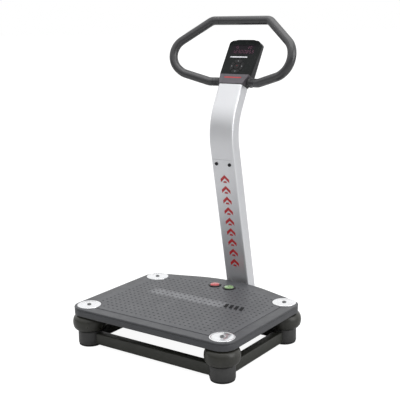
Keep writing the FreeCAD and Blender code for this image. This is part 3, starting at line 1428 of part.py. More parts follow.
def makeFaceParts():
    """Window, trim strip, keys and the circuit board with its display and switches."""
    thick = size.window_thickness
    window = roundedBlock("window", (-size.window_half, size.window_half), (plain(0), thick),
                          (size.window_low, size.window_high), size.window_corner, Y_AXIS)
    keep(onFace(group("display_window", window)), "display_window")
    half = size.strip_height / 2
    strip = roundedBlock("strip", (-size.strip_half, size.strip_half), (-size.strip_proud, size.strip_sunk),
                         (size.strip_rise - half, size.strip_rise + half), size.window_corner, Y_AXIS)
    keep(onFace(group("trim_strip", strip)), "trim_strip")
    for label, angle in KEYS:
        key = keyPrism(label + "_solid", angle, plain(0), -size.key_proud, size.key_depth)
        keep(onFace(group(label, key)), label)
    centre = rodAlongY("centre_key_solid", size.key_centre, -size.key_proud, size.key_depth,
                       0, size.pad_rise)
    keep(onFace(group("centre_key", centre)), "centre_key")
    switch_front = size.key_depth + size.key_travel + size.fit_gap
    board_front = switch_front + size.key_switch
    board = box("board_plate", (-size.console_board_half, size.console_board_half),
                (board_front, board_front + size.board_thickness),
                (size.console_board_low, size.console_board_high))
    parts = [board]
    middle = (size.key_inner + size.pad_radius) / 2
    spots = [(0, 0), (0, middle), (0, -middle), (middle, 0), (-middle, 0)]
    for number, (x, rise) in enumerate(spots):
        parts.append(rodAlongY("key_switch_%d" % number, size.key_switch_radius, switch_front, board_front,
                               x, size.pad_rise + rise))
    ledge = size.window_ledge + size.display_gap
    parts.append(box("display_block", (ledge - size.window_half, size.window_half - ledge),
                     (size.console_wall, board_front), (size.window_low + ledge, size.window_high - ledge)))
    keep(onFace(fuse("console_board", *parts)), "console_board")


# ---- handlebar -------------------------------------------------------------------------

LOOP_CORNERS = ("mouth", "elbow", "low", "side", "top")


def loopCorner(name, side):
    """One corner of the handlebar's centre line, with its bend radius."""
    parts = ("x", "depth", "rise", "bend")
    x, y, z, bend = (float(getattr(size, "%s_%s" % (name, part))) for part in parts)
    return FreeCAD.Vector(side * x, y, z), bend


def alongCollar(side, x):
    """The point of the straight run beside the neck that lies at a distance x sideways."""
    mouth = loopCorner("mouth", side)[0]
    elbow = loopCorner("elbow", side)[0]
    return mouth + (elbow - mouth) * ((float(x) - abs(mouth.x)) / (abs(elbow.x) - abs(mouth.x)))


def loopPoints(stretch, side=1):
    """Corners of one stretch of the handlebar: the whole tube, its mouths or one side grip."""
    if stretch == "mouth":
        right = [loopCorner("mouth", 1), loopCorner("elbow", 1)]
        left = [loopCorner("elbow", -1), loopCorner("mouth", -1)]
        return [(corner, bend) for corner, bend in left + right]
    if stretch == "tube":
        start = FreeCAD.Vector(float(size.tube_end), float(size.mouth_depth), float(size.mouth_rise))
        right = [loopCorner(name, 1) for name in LOOP_CORNERS]
        left = [loopCorner(name, -1) for name in reversed(LOOP_CORNERS)]
        end = FreeCAD.Vector(-start.x, start.y, start.z)
        return [(start, 0)] + right + left + [(end, 0)]
    start = alongCollar(side, size.collar_end + size.grip_gap)
    corners = [loopCorner(name, side) for name in LOOP_CORNERS[1:]]
    end = FreeCAD.Vector(side * float(size.top_grip_half + size.grip_gap), float(size.top_depth),
                         float(size.top_rise))
    return [(start, 0)] + corners + [(end, 0)]


def bentWire(points):
    """Straight runs joined by tangent arcs at the inner points."""
    edges = []
    last = points[0][0]
    for index in range(1, len(points) - 1):
        corner, bend = points[index]
        back = (points[index - 1][0] - corner).normalize()
        ahead = (points[index + 1][0] - corner).normalize()
        half = back.getAngle(ahead) / 2
        trim = bend / math.tan(half)
        centre = corner + (back + ahead).normalize() * (bend / math.sin(half))
        start, end = corner + back * trim, corner + ahead * trim
        middle = centre + (corner - centre).normalize() * bend
        edges.append(Part.makeLine(last, start))
        edges.append(Part.Arc(start, middle, end).toShape())
        last = end
    edges.append(Part.makeLine(last, points[-1][0]))
    return Part.Wire(edges)


def sweptRod(points, radius):
    """A round bar along a stretch of the handlebar."""
    spine = bentWire(points)
    direction = points[1][0] - points[0][0]
    ring = Part.Wire(Part.makeCircle(float(radius), points[0][0], direction))
    bar = spine.makePipeShell([ring], True, True)
    wanted = math.pi * float(radius) ** 2 * spine.Length
    if abs(bar.Volume - wanted) > wanted * 0.01:
        raise RuntimeError("a bent bar has the wrong volume")
    return bar


def collarRod(side, radius, near, far):
    """A straight bar on the run beside the neck."""
    start, end = alongCollar(side, near), alongCollar(side, far)
    return Part.makeCylinder(float(radius), (end - start).Length, start, end - start)


def shaped(name, shape):
    """A piece of the handlebar, drawn in the neck's frame."""
    piece = doc.addObject("Part::Feature", name)
    piece.Shape = shape
    return piece


def makeHandlebar():
    """Bent steel tube, three foam grips and a plastic collar at each side of the neck."""
    whole = loopPoints("tube")
    tube = sweptRod(whole, size.tube_radius).cut(sweptRod(whole, size.tube_radius - size.tube_wall))
    keep(inNeck(shaped("handlebar_tube", tube)), "handlebar_tube")
    collars = []
    for hand, side in RIGHT_AND_LEFT:
        path = loopPoints("side", side)
        grip = sweptRod(path, size.grip_radius).cut(sweptRod(path, size.tube_radius))
        keep(inNeck(shaped(hand + "_grip", grip)), hand + "_grip")
        sleeve = collarRod(side, size.grip_radius, size.collar_start, size.collar_end)
        flange = collarRod(side, size.collar_flange, size.collar_start,
                           size.collar_start + size.collar_flange_width)
        bore = collarRod(side, size.tube_radius, size.collar_start, size.collar_end)
        collars.append(shaped(hand + "_collar", sleeve.fuse(flange).cut(bore)))
    keep(inNeck(group("handlebar_collars", *collars)), "handlebar_collars")
    grip = alongX("top_grip_foam", size.grip_radius, size.top_grip_half, size.top_depth, size.top_rise)
    bore = alongX("top_grip_bore", size.tube_radius, size.top_grip_half, size.top_depth, size.top_rise)
    keep(inNeck(cut("top_grip", grip, bore)), "top_grip")


# ---- build -----------------------------------------------------------------------------

def buildAll():
    makePosts()
    makeFeet()
    makeRails()
    makeSprings()
    core = deckCore()
    makeDeckFrame(core)
    makeDeckShell(core)
    makeDiscs()
    makeButtons()
    makeMotors()
    makeCarrier()
    makeLowerColumn()
    makeUpperColumn()
    makeColumnJoint()
    makeInlet()
    makePowerSwitch()
    makeDriveBoard()
    makeConsoleShells()
    makeFaceParts()
    makeHandlebar()


def writeNodes():
    """Stops on any failed object, then writes each sub-part."""
    doc.recompute()
    for item in doc.Objects:
        if "Invalid" in item.State or "Error" in item.State:
            raise RuntimeError("%s (%s) failed: %s" % (item.Name, item.Label, item.State))
    os.makedirs("parts", exist_ok=True)
    for node in nodes:
        shape = node.Shape
        if shape.isNull() or not shape.isValid() or not shape.Solids:
            raise RuntimeError("%s has no valid solid" % node.Label)
        shape.exportStep("parts/%s.step" % node.Label)
        print("%-22s %2d solids %12.0f mm3" % (node.Label, len(shape.Solids), shape.Volume))
    print(len(nodes), "nodes")


buildAll()
writeNodes()
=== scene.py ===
import math

import bmesh
import bpy
from mathutils import Matrix, Vector
from mathutils.bvhtree import BVHTree


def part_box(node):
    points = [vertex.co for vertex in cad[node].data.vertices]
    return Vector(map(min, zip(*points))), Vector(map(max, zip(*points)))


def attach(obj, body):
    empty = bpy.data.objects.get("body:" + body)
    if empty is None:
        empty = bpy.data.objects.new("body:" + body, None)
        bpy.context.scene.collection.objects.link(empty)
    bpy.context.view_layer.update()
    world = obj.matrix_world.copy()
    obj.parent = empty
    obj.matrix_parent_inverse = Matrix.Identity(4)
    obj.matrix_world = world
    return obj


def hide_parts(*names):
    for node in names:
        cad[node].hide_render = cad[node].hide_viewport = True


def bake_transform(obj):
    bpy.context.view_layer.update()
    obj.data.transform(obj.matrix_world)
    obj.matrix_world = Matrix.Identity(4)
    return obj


# A vibration plate: sprung deck, steel floor frame, bent silver column, console and handlebar loop.
# Everything is in metres, +Z up, +Y towards the column, the floor at 0.

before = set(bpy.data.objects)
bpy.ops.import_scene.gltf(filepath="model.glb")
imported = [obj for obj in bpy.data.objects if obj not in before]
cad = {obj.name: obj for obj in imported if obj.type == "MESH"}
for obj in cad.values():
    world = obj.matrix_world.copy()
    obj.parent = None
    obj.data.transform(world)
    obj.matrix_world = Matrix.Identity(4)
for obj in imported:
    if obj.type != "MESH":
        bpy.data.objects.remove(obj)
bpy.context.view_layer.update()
scene = bpy.context.scene


def linear(value):
    # a display colour from 0 to 255 as scene light
    part = value / 255
    return part / 12.92 if part <= 0.04045 else ((part + 0.055) / 1.055) ** 2.4


def tone(red, green=None, blue=None):
    green = red if green is None else green
    blue = red if blue is None else blue
    return (linear(red), linear(green), linear(blue), 1.0)


def shaded(colour, factor):
    return tuple(min(1.0, part * factor) for part in colour[:3]) + (1.0,)


# the finishes: each is a small node tree on the piece's own Object coordinates

def finish(name, look):
    # look: what the finish has, such as colour, patches, roughness, metal, coat, bump, specks, and pale dust
    # patches, which on the red and green caps are painted sheen
    material = bpy.data.materials.new(name)
    material.use_nodes = True
    nodes = material.node_tree.nodes
    links = material.node_tree.links
    shader = nodes["Principled BSDF"]
    place = nodes.new("ShaderNodeTexCoord").outputs["Object"]

    def noise(scale, detail=4.0, vector=place, roughness=0.55):
        node = nodes.new("ShaderNodeTexNoise")
        node.inputs["Scale"].default_value = scale
        node.inputs["Detail"].default_value = detail
        node.inputs["Roughness"].default_value = roughness
        links.new(vector, node.inputs["Vector"])
        return node.outputs["Fac"]

    def ranged(source, low, high, start=0.3, end=0.7):
        node = nodes.new("ShaderNodeMapRange")
        node.inputs["From Min"].default_value = start
        node.inputs["From Max"].default_value = end
        node.inputs["To Min"].default_value = low
        node.inputs["To Max"].default_value = high
        links.new(source, node.inputs["Value"])
        return node.outputs["Result"]

    def mixed(share, first, second):
        node = nodes.new("ShaderNodeMix")
        node.data_type = "RGBA"
        for socket, value in (("A", first), ("B", second)):
            target = [item for item in node.inputs if item.name == socket and item.type == "RGBA"][0]
            if isinstance(value, tuple):
                target.default_value = value
            else:
                links.new(value, target)
        factor = [item for item in node.inputs if item.name == "Factor" and item.type == "VALUE"][0]
        links.new(share, factor)
        return [item for item in node.outputs if item.type == "RGBA"][0]

    colour = look["colour"]
    shade = look.get("shade", 0.12)
    tinted = mixed(ranged(noise(look.get("patch", 18)), 0, 1), shaded(colour, 1 - shade),
                   shaded(colour, 1 + shade))
    if "speck" in look:
        scale, start, speckColour = look["speck"]
        tinted = mixed(ranged(noise(scale, 2.0), 0, 1, start, start + 0.08), tinted, speckColour)
    # random pale patches: real dust on most finishes, painted sheen on the red and green caps
    if "dustAndSheen" in look:
        scale, amount, dustAndSheenColour = look["dustAndSheen"]
        tinted = mixed(ranged(noise(scale, 8.0, roughness=0.7), 0, amount, 0.5, 0.75), tinted, dustAndSheenColour)
    stretched = nodes.new("ShaderNodeMapping")
    stretched.inputs["Scale"].default_value = look.get("stretch", (1, 1, 1))
    links.new(place, stretched.inputs["Vector"])
    if "scratch" in look:
        scale, amount, scratchColour = look["scratch"]
        lines = ranged(noise(scale, 2.0, stretched.outputs["Vector"]), 0, amount, 0.66, 0.72)
        tinted = mixed(lines, tinted, scratchColour)
    links.new(tinted, shader.inputs["Base Color"])
    rough = look.get("rough", 0.5)
    spread = look.get("spread", 0.08)
    links.new(ranged(noise(look.get("roughPatch", 40), 5.0), rough - spread, rough + spread),
              shader.inputs["Roughness"])
    shader.inputs["Metallic"].default_value = look.get("metal", 0.0)
    shader.inputs["Specular IOR Level"].default_value = look.get("specular", 0.5)
    shader.inputs["Coat Weight"].default_value = look.get("coat", 0.0)
    shader.inputs["Coat Roughness"].default_value = look.get("coatRough", 0.1)
    if look.get("glow"):
        shader.inputs["Emission Color"].default_value = colour
        shader.inputs["Emission Strength"].default_value = look["glow"]
    last = None
    for scale, strength, depth in look.get("bump", ((900, 0.25, 0.0001),)):
        node = nodes.new("ShaderNodeBump")
        node.inputs["Strength"].default_value = strength
        node.inputs["Distance"].default_value = depth
        links.new(noise(scale, 3.0), node.inputs["Height"])
        if last is not None:
            links.new(last, node.inputs["Normal"])
        last = node.outputs["Normal"]
    if "pores" in look:
        scale, strength, depth = look["pores"]
        cells = nodes.new("ShaderNodeTexVoronoi")
        cells.inputs["Scale"].default_value = scale
        links.new(place, cells.inputs["Vector"])
        node = nodes.new("ShaderNodeBump")
        node.inputs["Strength"].default_value = strength
        node.inputs["Distance"].default_value = depth
        links.new(cells.outputs["Distance"], node.inputs["Height"])
        links.new(last, node.inputs["Normal"])
        last = node.outputs["Normal"]
    links.new(last, shader.inputs["Normal"])
    return material


finishes = {
    "powderCoat": finish("powder_coat_black", {
        "colour": tone(46, 47, 42), "shade": 0.10, "patch": 9, "rough": 0.46, "spread": 0.06,
        "bump": ((420, 0.35, 0.00025), (1500, 0.3, 0.0001)), "dustAndSheen": (22, 0.10, tone(92, 90, 86))}),
    "postCoat": finish("powder_coat_grey", {
        "colour": tone(53, 53, 53), "shade": 0.10, "patch": 12, "rough": 0.42, "spread": 0.07,
        "bump": ((420, 0.35, 0.00025), (1500, 0.3, 0.0001)), "dustAndSheen": (22, 0.10, tone(98, 96, 92))}),
    "springRubber": finish("spring_rubber", {
        "colour": tone(40, 40, 35), "shade": 0.16, "patch": 26, "rough": 0.34, "spread": 0.07,
        "roughPatch": 60, "bump": ((60, 0.25, 0.0006), (1300, 0.35, 0.00012)),
        "dustAndSheen": (35, 0.10, tone(96, 94, 84))}),
    "footRubber": finish("foot_rubber", {
        "colour": tone(20, 20, 20), "shade": 0.2, "rough": 0.7, "bump": ((800, 0.5, 0.0002),),
        "dustAndSheen": (60, 0.25, tone(70, 68, 64))}),
    "deckShell": finish("deck_plastic", {
        "colour": tone(62, 63, 66), "shade": 0.06, "patch": 8, "rough": 0.40, "spread": 0.05,
        "specular": 0.4,
        "bump": ((1100, 0.35, 0.00015), (260, 0.12, 0.0002)), "dustAndSheen": (14, 0.07, tone(120, 120, 120))}),
    "silver": finish("silver_paint", {
        "colour": tone(226, 227, 230), "shade": 0.02, "patch": 5, "rough": 0.40, "spread": 0.04,
        "metal": 0.85, "speck": (5200, 0.62, tone(244, 245, 247)),
        "bump": ((180, 0.06, 0.0002), (2600, 0.10, 0.00005))}),
    "chrome": finish("disc_chrome", {
        "colour": tone(244, 245, 247), "shade": 0.05, "patch": 60, "rough": 0.16, "spread": 0.08,
        "roughPatch": 90, "metal": 1.0, "stretch": (1, 14, 1), "scratch": (160, 0.4, tone(176, 177, 180)),
        "bump": ((80, 0.25, 0.0009), (700, 0.12, 0.0001))}),
    "steel": finish("plated_steel", {
        "colour": tone(150, 151, 153), "shade": 0.10, "patch": 60, "rough": 0.34, "spread": 0.10,
        "metal": 1.0, "bump": ((900, 0.2, 0.0001),), "scratch": (300, 0.4, tone(200)),
        "stretch": (1, 1, 9)}),
    "darkBolt": finish("black_oxide", {
        "colour": tone(46, 46, 48), "shade": 0.15, "patch": 90, "rough": 0.38, "spread": 0.1, "metal": 0.8,
        "bump": ((1200, 0.3, 0.0001),), "scratch": (260, 0.3, tone(120))}),
    "castMetal": finish("cast_aluminium", {
        "colour": tone(140, 141, 143), "shade": 0.10, "patch": 40, "rough": 0.52, "spread": 0.08,
        "metal": 0.9, "bump": ((500, 0.5, 0.0003), (1600, 0.3, 0.0001)), "dustAndSheen": (30, 0.25, tone(80))}),
    "castIron": finish("cast_iron", {
        "colour": tone(66, 64, 62), "shade": 0.18, "patch": 50, "rough": 0.62, "metal": 0.7,
        "bump": ((420, 0.6, 0.0004), (1500, 0.3, 0.0001)), "dustAndSheen": (60, 0.3, tone(110, 84, 62))}),
    "consoleGrey": finish("console_grey", {
        "colour": tone(46, 46, 48), "shade": 0.08, "patch": 30, "rough": 0.32, "spread": 0.06,
        "specular": 0.4,
        "bump": ((1500, 0.25, 0.0001),), "dustAndSheen": (30, 0.08, tone(120))}),
    "neckGrey": finish("neck_grey", {
        "colour": tone(80, 76, 82), "shade": 0.05, "patch": 30, "rough": 0.40, "spread": 0.06,
        "bump": ((1500, 0.25, 0.0001),), "dustAndSheen": (30, 0.08, tone(150))}),
    "facePanel": finish("face_panel", {
        "colour": tone(25, 28, 28), "shade": 0.15, "patch": 22, "rough": 0.24, "spread": 0.05,
        "specular": 0.12, "bump": ((1800, 0.10, 0.00005),), "dustAndSheen": (40, 0.05, tone(70))}),
    "window": finish("window_gloss", {
        "colour": tone(20, 15, 22), "shade": 0.2, "patch": 20, "rough": 0.10, "spread": 0.03,
        "specular": 0.16, "bump": ((60, 0.05, 0.0001),)}),
    "keyTop": finish("key_plastic", {
        "colour": tone(33, 33, 34), "shade": 0.10, "patch": 50, "rough": 0.42, "spread": 0.05,
        "specular": 0.2,
        "bump": ((1700, 0.3, 0.0001),)}),
    "foam": finish("grip_foam", {
        "colour": tone(36, 36, 39), "shade": 0.07, "patch": 45, "rough": 0.33, "spread": 0.05,
        "roughPatch": 70, "specular": 0.9, "bump": ((75, 0.16, 0.0006), (900, 0.15, 0.00008)),
        "pores": (950, 0.2, 0.00008), "dustAndSheen": (30, 0.06, tone(100))}),
    "collar": finish("collar_plastic", {
        "colour": tone(44, 44, 46), "shade": 0.06, "patch": 40, "rough": 0.30, "spread": 0.05, "coat": 0.2,
        "bump": ((1400, 0.18, 0.00008),)}),
    "socket": finish("moulded_black", {
        "colour": tone(22, 22, 23), "shade": 0.15, "patch": 60, "rough": 0.40, "spread": 0.08,
        "bump": ((1300, 0.3, 0.0001),), "dustAndSheen": (60, 0.12, tone(80))}),
    "gasket": finish("gasket_rubber", {
        "colour": tone(24, 24, 25), "shade": 0.2, "rough": 0.6, "bump": ((900, 0.4, 0.0002),)}),
    "board": finish("circuit_board", {
        "colour": tone(24, 92, 52), "shade": 0.2, "patch": 120, "rough": 0.32, "coat": 0.3,
        "speck": (900, 0.66, tone(196, 160, 70)), "bump": ((400, 0.4, 0.0003),)}),
    # painted sheen: pale pink patches, a lighter red standing in for the reflection on the cap
    "redCap": finish("red_cap", {
        "colour": tone(168, 40, 44), "shade": 0.10, "patch": 80, "rough": 0.26, "spread": 0.06, "coat": 1.0,
        "coatRough": 0.05, "bump": ((240, 0.12, 0.0002),), "dustAndSheen": (80, 0.12, tone(226, 120, 120))}),
    # painted sheen: pale green patches that make the cap read paler, standing in for the reflection on the
    # cap
    "greenCap": finish("green_cap", {
        "colour": tone(112, 146, 92), "shade": 0.10, "patch": 80, "rough": 0.26, "spread": 0.06, "coat": 1.0,
        "coatRough": 0.05, "bump": ((240, 0.12, 0.0002),), "dustAndSheen": (80, 0.2, tone(190, 200, 170))}),
    "redInk": finish("red_ink", {
        "colour": tone(176, 26, 34), "shade": 0.12, "patch": 60, "rough": 0.36, "coat": 0.3,
        "bump": ((900, 0.1, 0.00005),)}),
    "paleInk": finish("pale_ink", {
        "colour": tone(222, 223, 228), "shade": 0.05, "patch": 60, "rough": 0.30, "metal": 0.3,
        "bump": ((900, 0.1, 0.00005),)}),
    "dimInk": finish("dim_ink", {
        "colour": tone(120, 122, 124), "shade": 0.10, "patch": 60, "rough": 0.45,
        "bump": ((900, 0.1, 0.00005),)}),
    "tickInk": finish("mat_ink", {
        "colour": tone(24, 24, 26), "shade": 0.10, "patch": 60, "rough": 0.6, "specular": 0.1,
        "bump": ((900, 0.1, 0.00005),)}),
    "digitGlow": finish("digit_red", {
        "colour": tone(88, 46, 68), "shade": 0.15, "patch": 90, "rough": 0.35, "glow": 0.10,
        "bump": ((900, 0.1, 0.00005),)}),
    # painted shade: the studs are coloured darker than the mat, standing in for the shadowed dark dots
    "stud": finish("mat_stud", {
        "colour": tone(46, 47, 49), "shade": 0.12, "patch": 60, "rough": 0.46, "spread": 0.06,
        "specular": 0.35, "bump": ((1100, 0.3, 0.00012),), "dustAndSheen": (50, 0.10, tone(100))}),
    "boltGrey": finish("zinc_bolt", {
        "colour": tone(112, 113, 114), "shade": 0.12, "patch": 90, "rough": 0.42, "metal": 0.8,
        "bump": ((1200, 0.3, 0.0001),)}),
    "weld": finish("painted_weld", {
        "colour": tone(40, 40, 39), "shade": 0.12, "patch": 90, "rough": 0.42, "spread": 0.08,
        "bump": ((900, 0.4, 0.0002),)}),
}


def matFinish(look):
    # rubber mat with a soft printed band across it, as wide as the band dictionary says
    material = finish("mat_rubber", look)
    nodes = material.node_tree.nodes
    links = material.node_tree.links
    shader = nodes["Principled BSDF"]
    place = [node for node in nodes if node.type == "TEX_COORD"][0].outputs["Object"]
    split = nodes.new("ShaderNodeSeparateXYZ")
    links.new(place, split.inputs["Vector"])
    under = shader.inputs["Base Color"].links[0].from_socket

    def math2(operation, first, second):
        node = nodes.new("ShaderNodeMath")
        node.operation = operation
        for socket, value in zip(node.inputs, (first, second)):
            if isinstance(value, (int, float)):
                socket.default_value = value
            else:
                links.new(value, socket)
        return node.outputs["Value"]

    def window(value, low, high, soft):
        # 1 between low and high, fading to 0 over soft
        share = nodes.new("ShaderNodeMapRange")
        share.interpolation_type = "SMOOTHSTEP"
        share.inputs["From Min"].default_value = low - soft
        share.inputs["From Max"].default_value = low
        links.new(value, share.inputs["Value"])
        fall = nodes.new("ShaderNodeMapRange")
        fall.interpolation_type = "SMOOTHSTEP"
        fall.inputs["From Min"].default_value = high
        fall.inputs["From Max"].default_value = high + soft
        fall.inputs["To Min"].default_value = 1
        fall.inputs["To Max"].default_value = 0
        links.new(value, fall.inputs["Value"])
        return math2("MULTIPLY", share.outputs["Result"], fall.outputs["Result"])

    band = look["band"]
    slope = math2("MULTIPLY", split.outputs["X"], band["slope"])
    across = math2("SUBTRACT", split.outputs["Y"], slope)
    share = math2("MULTIPLY", window(split.outputs["X"], *band["x"], band["softX"]),
                  window(across, *band["y"], band["softY"]))
    grain = nodes.new("ShaderNodeTexNoise")
    grain.inputs["Scale"].default_value = band["grain"]
    grain.inputs["Detail"].default_value = 6
    links.new(place, grain.inputs["Vector"])
    patchy = nodes.new("ShaderNodeMapRange")
    patchy.inputs["From Min"].default_value = 0.3
    patchy.inputs["From Max"].default_value = 0.6
    patchy.inputs["To Min"].default_value = band["least"]
    patchy.inputs["To Max"].default_value = band["most"]
    links.new(grain.outputs["Fac"], patchy.inputs["Value"])
    share = math2("MULTIPLY", share, patchy.outputs["Result"])
    mix = nodes.new("ShaderNodeMix")
    mix.data_type = "RGBA"
    sockets = [item for item in mix.inputs if item.type == "RGBA"]
    links.new(under, sockets[0])
    sockets[1].default_value = band["colour"]
    links.new(share, [item for item in mix.inputs if item.name == "Factor" and item.type == "VALUE"][0])
    links.new([item for item in mix.outputs if item.type == "RGBA"][0], shader.inputs["Base Color"])
    return material


matLook = {
    "colour": tone(74, 75, 78), "shade": 0.07, "patch": 10, "rough": 0.46, "spread": 0.06,
    "specular": 0.4,
    "bump": ((900, 0.45, 0.0002), (220, 0.15, 0.0003)), "dustAndSheen": (12, 0.10, tone(132)),
    "band": {"x": (-0.205, 0.125), "softX": 0.03, "y": (0.036, 0.086), "softY": 0.011, "slope": 0.0,
             "grain": 45, "least": 0.4, "most": 0.75, "colour": tone(118, 119, 122)},
}
finishes["mat"] = matFinish(matLook)
print("finishes:", len(finishes))


# making and placing pieces

def meshObject(name, mesh, material=None):
    thing = bpy.data.objects.new(name, mesh)
    scene.collection.objects.link(thing)
    if material is not None:
        mesh.materials.clear()
        mesh.materials.append(finishes[material])
    return thing


def smooth(mesh, angle=35):
    mesh.shade_smooth()
    mesh.set_sharp_from_angle(angle=math.radians(angle))


def settle(thing, body, nodes=(), blend=None):
    # puts a finished piece on its body, in place of its CAD nodes; with a blend it joins no body and only has
    # its place baked into its mesh
    if nodes:
        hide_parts(*nodes)
    if blend is None:
        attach(thing, body)
    else:
        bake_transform(thing)
    return thing


def applied(thing):
    # the modifiers' result as a plain mesh
    depsgraph = bpy.context.evaluated_depsgraph_get()
    mesh = bpy.data.meshes.new_from_object(thing.evaluated_get(depsgraph))
    thing.modifiers.clear()
    thing.data = mesh
    return thing


def nodeCopy(name, nodes, material, bevel=0.0, angle=35, edit=None):
    # a merged copy of CAD nodes, with small rounded edges
    build = bmesh.new()
    for node in nodes:
        build.from_mesh(cad[node].data)
    bmesh.ops.remove_doubles(build, verts=build.verts, dist=2e-6)
    if bevel:
        bmesh.ops.dissolve_limit(build, angle_limit=math.radians(0.8), use_dissolve_boundaries=False,
                                 verts=build.verts, edges=build.edges)
    if edit is not None:
        edit(build)
    mesh = bpy.data.meshes.new(name)
    build.to_mesh(mesh)
    build.free()
    thing = meshObject(name, mesh, material)
    smooth(thing.data, angle)
    if bevel:
        modifier = thing.modifiers.new("edges", "BEVEL")
        modifier.width = bevel
        modifier.segments = 2
        modifier.limit_method = "ANGLE"
        modifier.angle_limit = math.radians(40)
        modifier.use_clamp_overlap = True
        modifier.harden_normals = False
        applied(thing)
        smooth(thing.data, angle)
    evened = thing.modifiers.new("evened", "WEIGHTED_NORMAL")  # keeps the flats looking flat
    evened.keep_sharp = True
    evened.weight = 100
    return applied(thing)


def lathe(build, profile, centre=(0, 0, 0), turn=None, steps=64):
    # a closed turned shape; profile runs from the axis, round the outside, back to the axis
    matrix = Matrix.Translation(centre) @ (turn or Matrix.Identity(4))
    rings = []
    for radius, height in profile:
        if radius < 1e-7:
            rings.append([build.verts.new(matrix @ Vector((0, 0, height)))])
            continue
        angles = [2 * math.pi * step / steps for step in range(steps)]
        around = [(radius * math.cos(angle), radius * math.sin(angle), height) for angle in angles]
        rings.append([build.verts.new(matrix @ Vector(point)) for point in around])
    for lower, upper in zip(rings, rings[1:] + ([rings[0]] if len(rings[0]) > 1 else [])):
        for step in range(steps):
            after = (step + 1) % steps
            if len(lower) == 1 and len(upper) == 1:
                continue
            if len(lower) == 1:
                build.faces.new((lower[0], upper[after], upper[step]))
            elif len(upper) == 1:
                build.faces.new((lower[step], lower[after], upper[0]))
            else:
                build.faces.new((lower[step], lower[after], upper[after], upper[step]))


def bridge(build, rings):
    # quads between rings of equal count, one after another
    for first, second in zip(rings, rings[1:]):
        for step in range(len(first)):
            after = (step + 1) % len(first)
            build.faces.new((first[step], first[after], second[after], second[step]))


def fromBuild(name, build, material, angle=35):
    bmesh.ops.recalc_face_normals(build, faces=build.faces)
    mesh = bpy.data.meshes.new(name)
    build.to_mesh(mesh)
    build.free()
    thing = meshObject(name, mesh, material)
    smooth(thing.data, angle)
    return thing


def turned(name, profile, centres, material, turn=None, steps=64, angle=35):
    # one piece of equal turned shapes
    build = bmesh.new()
    for centre in centres:
        lathe(build, profile, centre, turn, steps)
    return fromBuild(name, build, material, angle)


def arc(x, y, radius, start, end, steps):
    # points of an arc, angles in degrees
    return [(x + radius * math.cos(math.radians(start + (end - start) * step / steps)),
             y + radius * math.sin(math.radians(start + (end - start) * step / steps)))
            for step in range(steps + 1)]


# small node trees for what repeats

def newTree(name, inputs):
    tree = bpy.data.node_groups.new(name, "GeometryNodeTree")
    tree.interface.new_socket("Geometry", in_out="INPUT", socket_type="NodeSocketGeometry")
    for label, kind, value in inputs:
        socket = tree.interface.new_socket(label, in_out="INPUT", socket_type="NodeSocket" + kind)
        if value is not None:
            socket.default_value = value
    tree.interface.new_socket("Geometry", in_out="OUTPUT", socket_type="NodeSocketGeometry")
    return tree


def addNode(tree, kind, values=None, **settings):
    node = tree.nodes.new(kind)
    for key, value in settings.items():
        setattr(node, key, value)
    for key, value in (values or {}).items():
        if isinstance(value, bpy.types.NodeSocket):
            tree.links.new(value, node.inputs[key])
        else:
            node.inputs[key].default_value = value
    return node


def ended(tree, entry, geometry):
    # every tree ends in real geometry with its material
    real = addNode(tree, "GeometryNodeRealizeInstances", {"Geometry": geometry})
    dressed = addNode(tree, "GeometryNodeSetMaterial", {"Geometry": real.outputs[0],
                                                        "Material": entry.outputs["Material"]})
    leave = addNode(tree, "NodeGroupOutput")
    tree.links.new(dressed.outputs[0], leave.inputs["Geometry"])
    return tree


def mathNode(tree, operation, first, second=0.0):
    return addNode(tree, "ShaderNodeMath", {0: first, 1: second}, operation=operation).outputs[0]


def attributeOf(node):
    # the live one of a named attribute's outputs
    return [item for item in node.outputs if item.name == "Attribute"][0]


def grown(name, source, tree, values, material):
    # runs a tree on an object and keeps only the mesh that it makes
    modifier = source.modifiers.new("grow", "NODES")
    modifier.node_group = tree
    for item in tree.interface.items_tree:
        if item.item_type == "SOCKET" and item.in_out == "INPUT" and item.name in values:
            modifier[item.identifier] = values[item.name]
    depsgraph = bpy.context.evaluated_depsgraph_get()
    mesh = bpy.data.meshes.new_from_object(source.evaluated_get(depsgraph))
    bpy.data.objects.remove(source)
    return meshObject(name, mesh, material)


def pointCloud(name, spots):
    # loose vertices, each with a direction the tree can read
    mesh = bpy.data.meshes.new(name)
    mesh.from_pydata([spot for spot, facing in spots], [], [])
    facing = mesh.attributes.new("facing", "FLOAT_VECTOR", "POINT")
    for index, (spot, direction) in enumerate(spots):
        facing.data[index].vector = direction
    return meshObject(name, mesh)


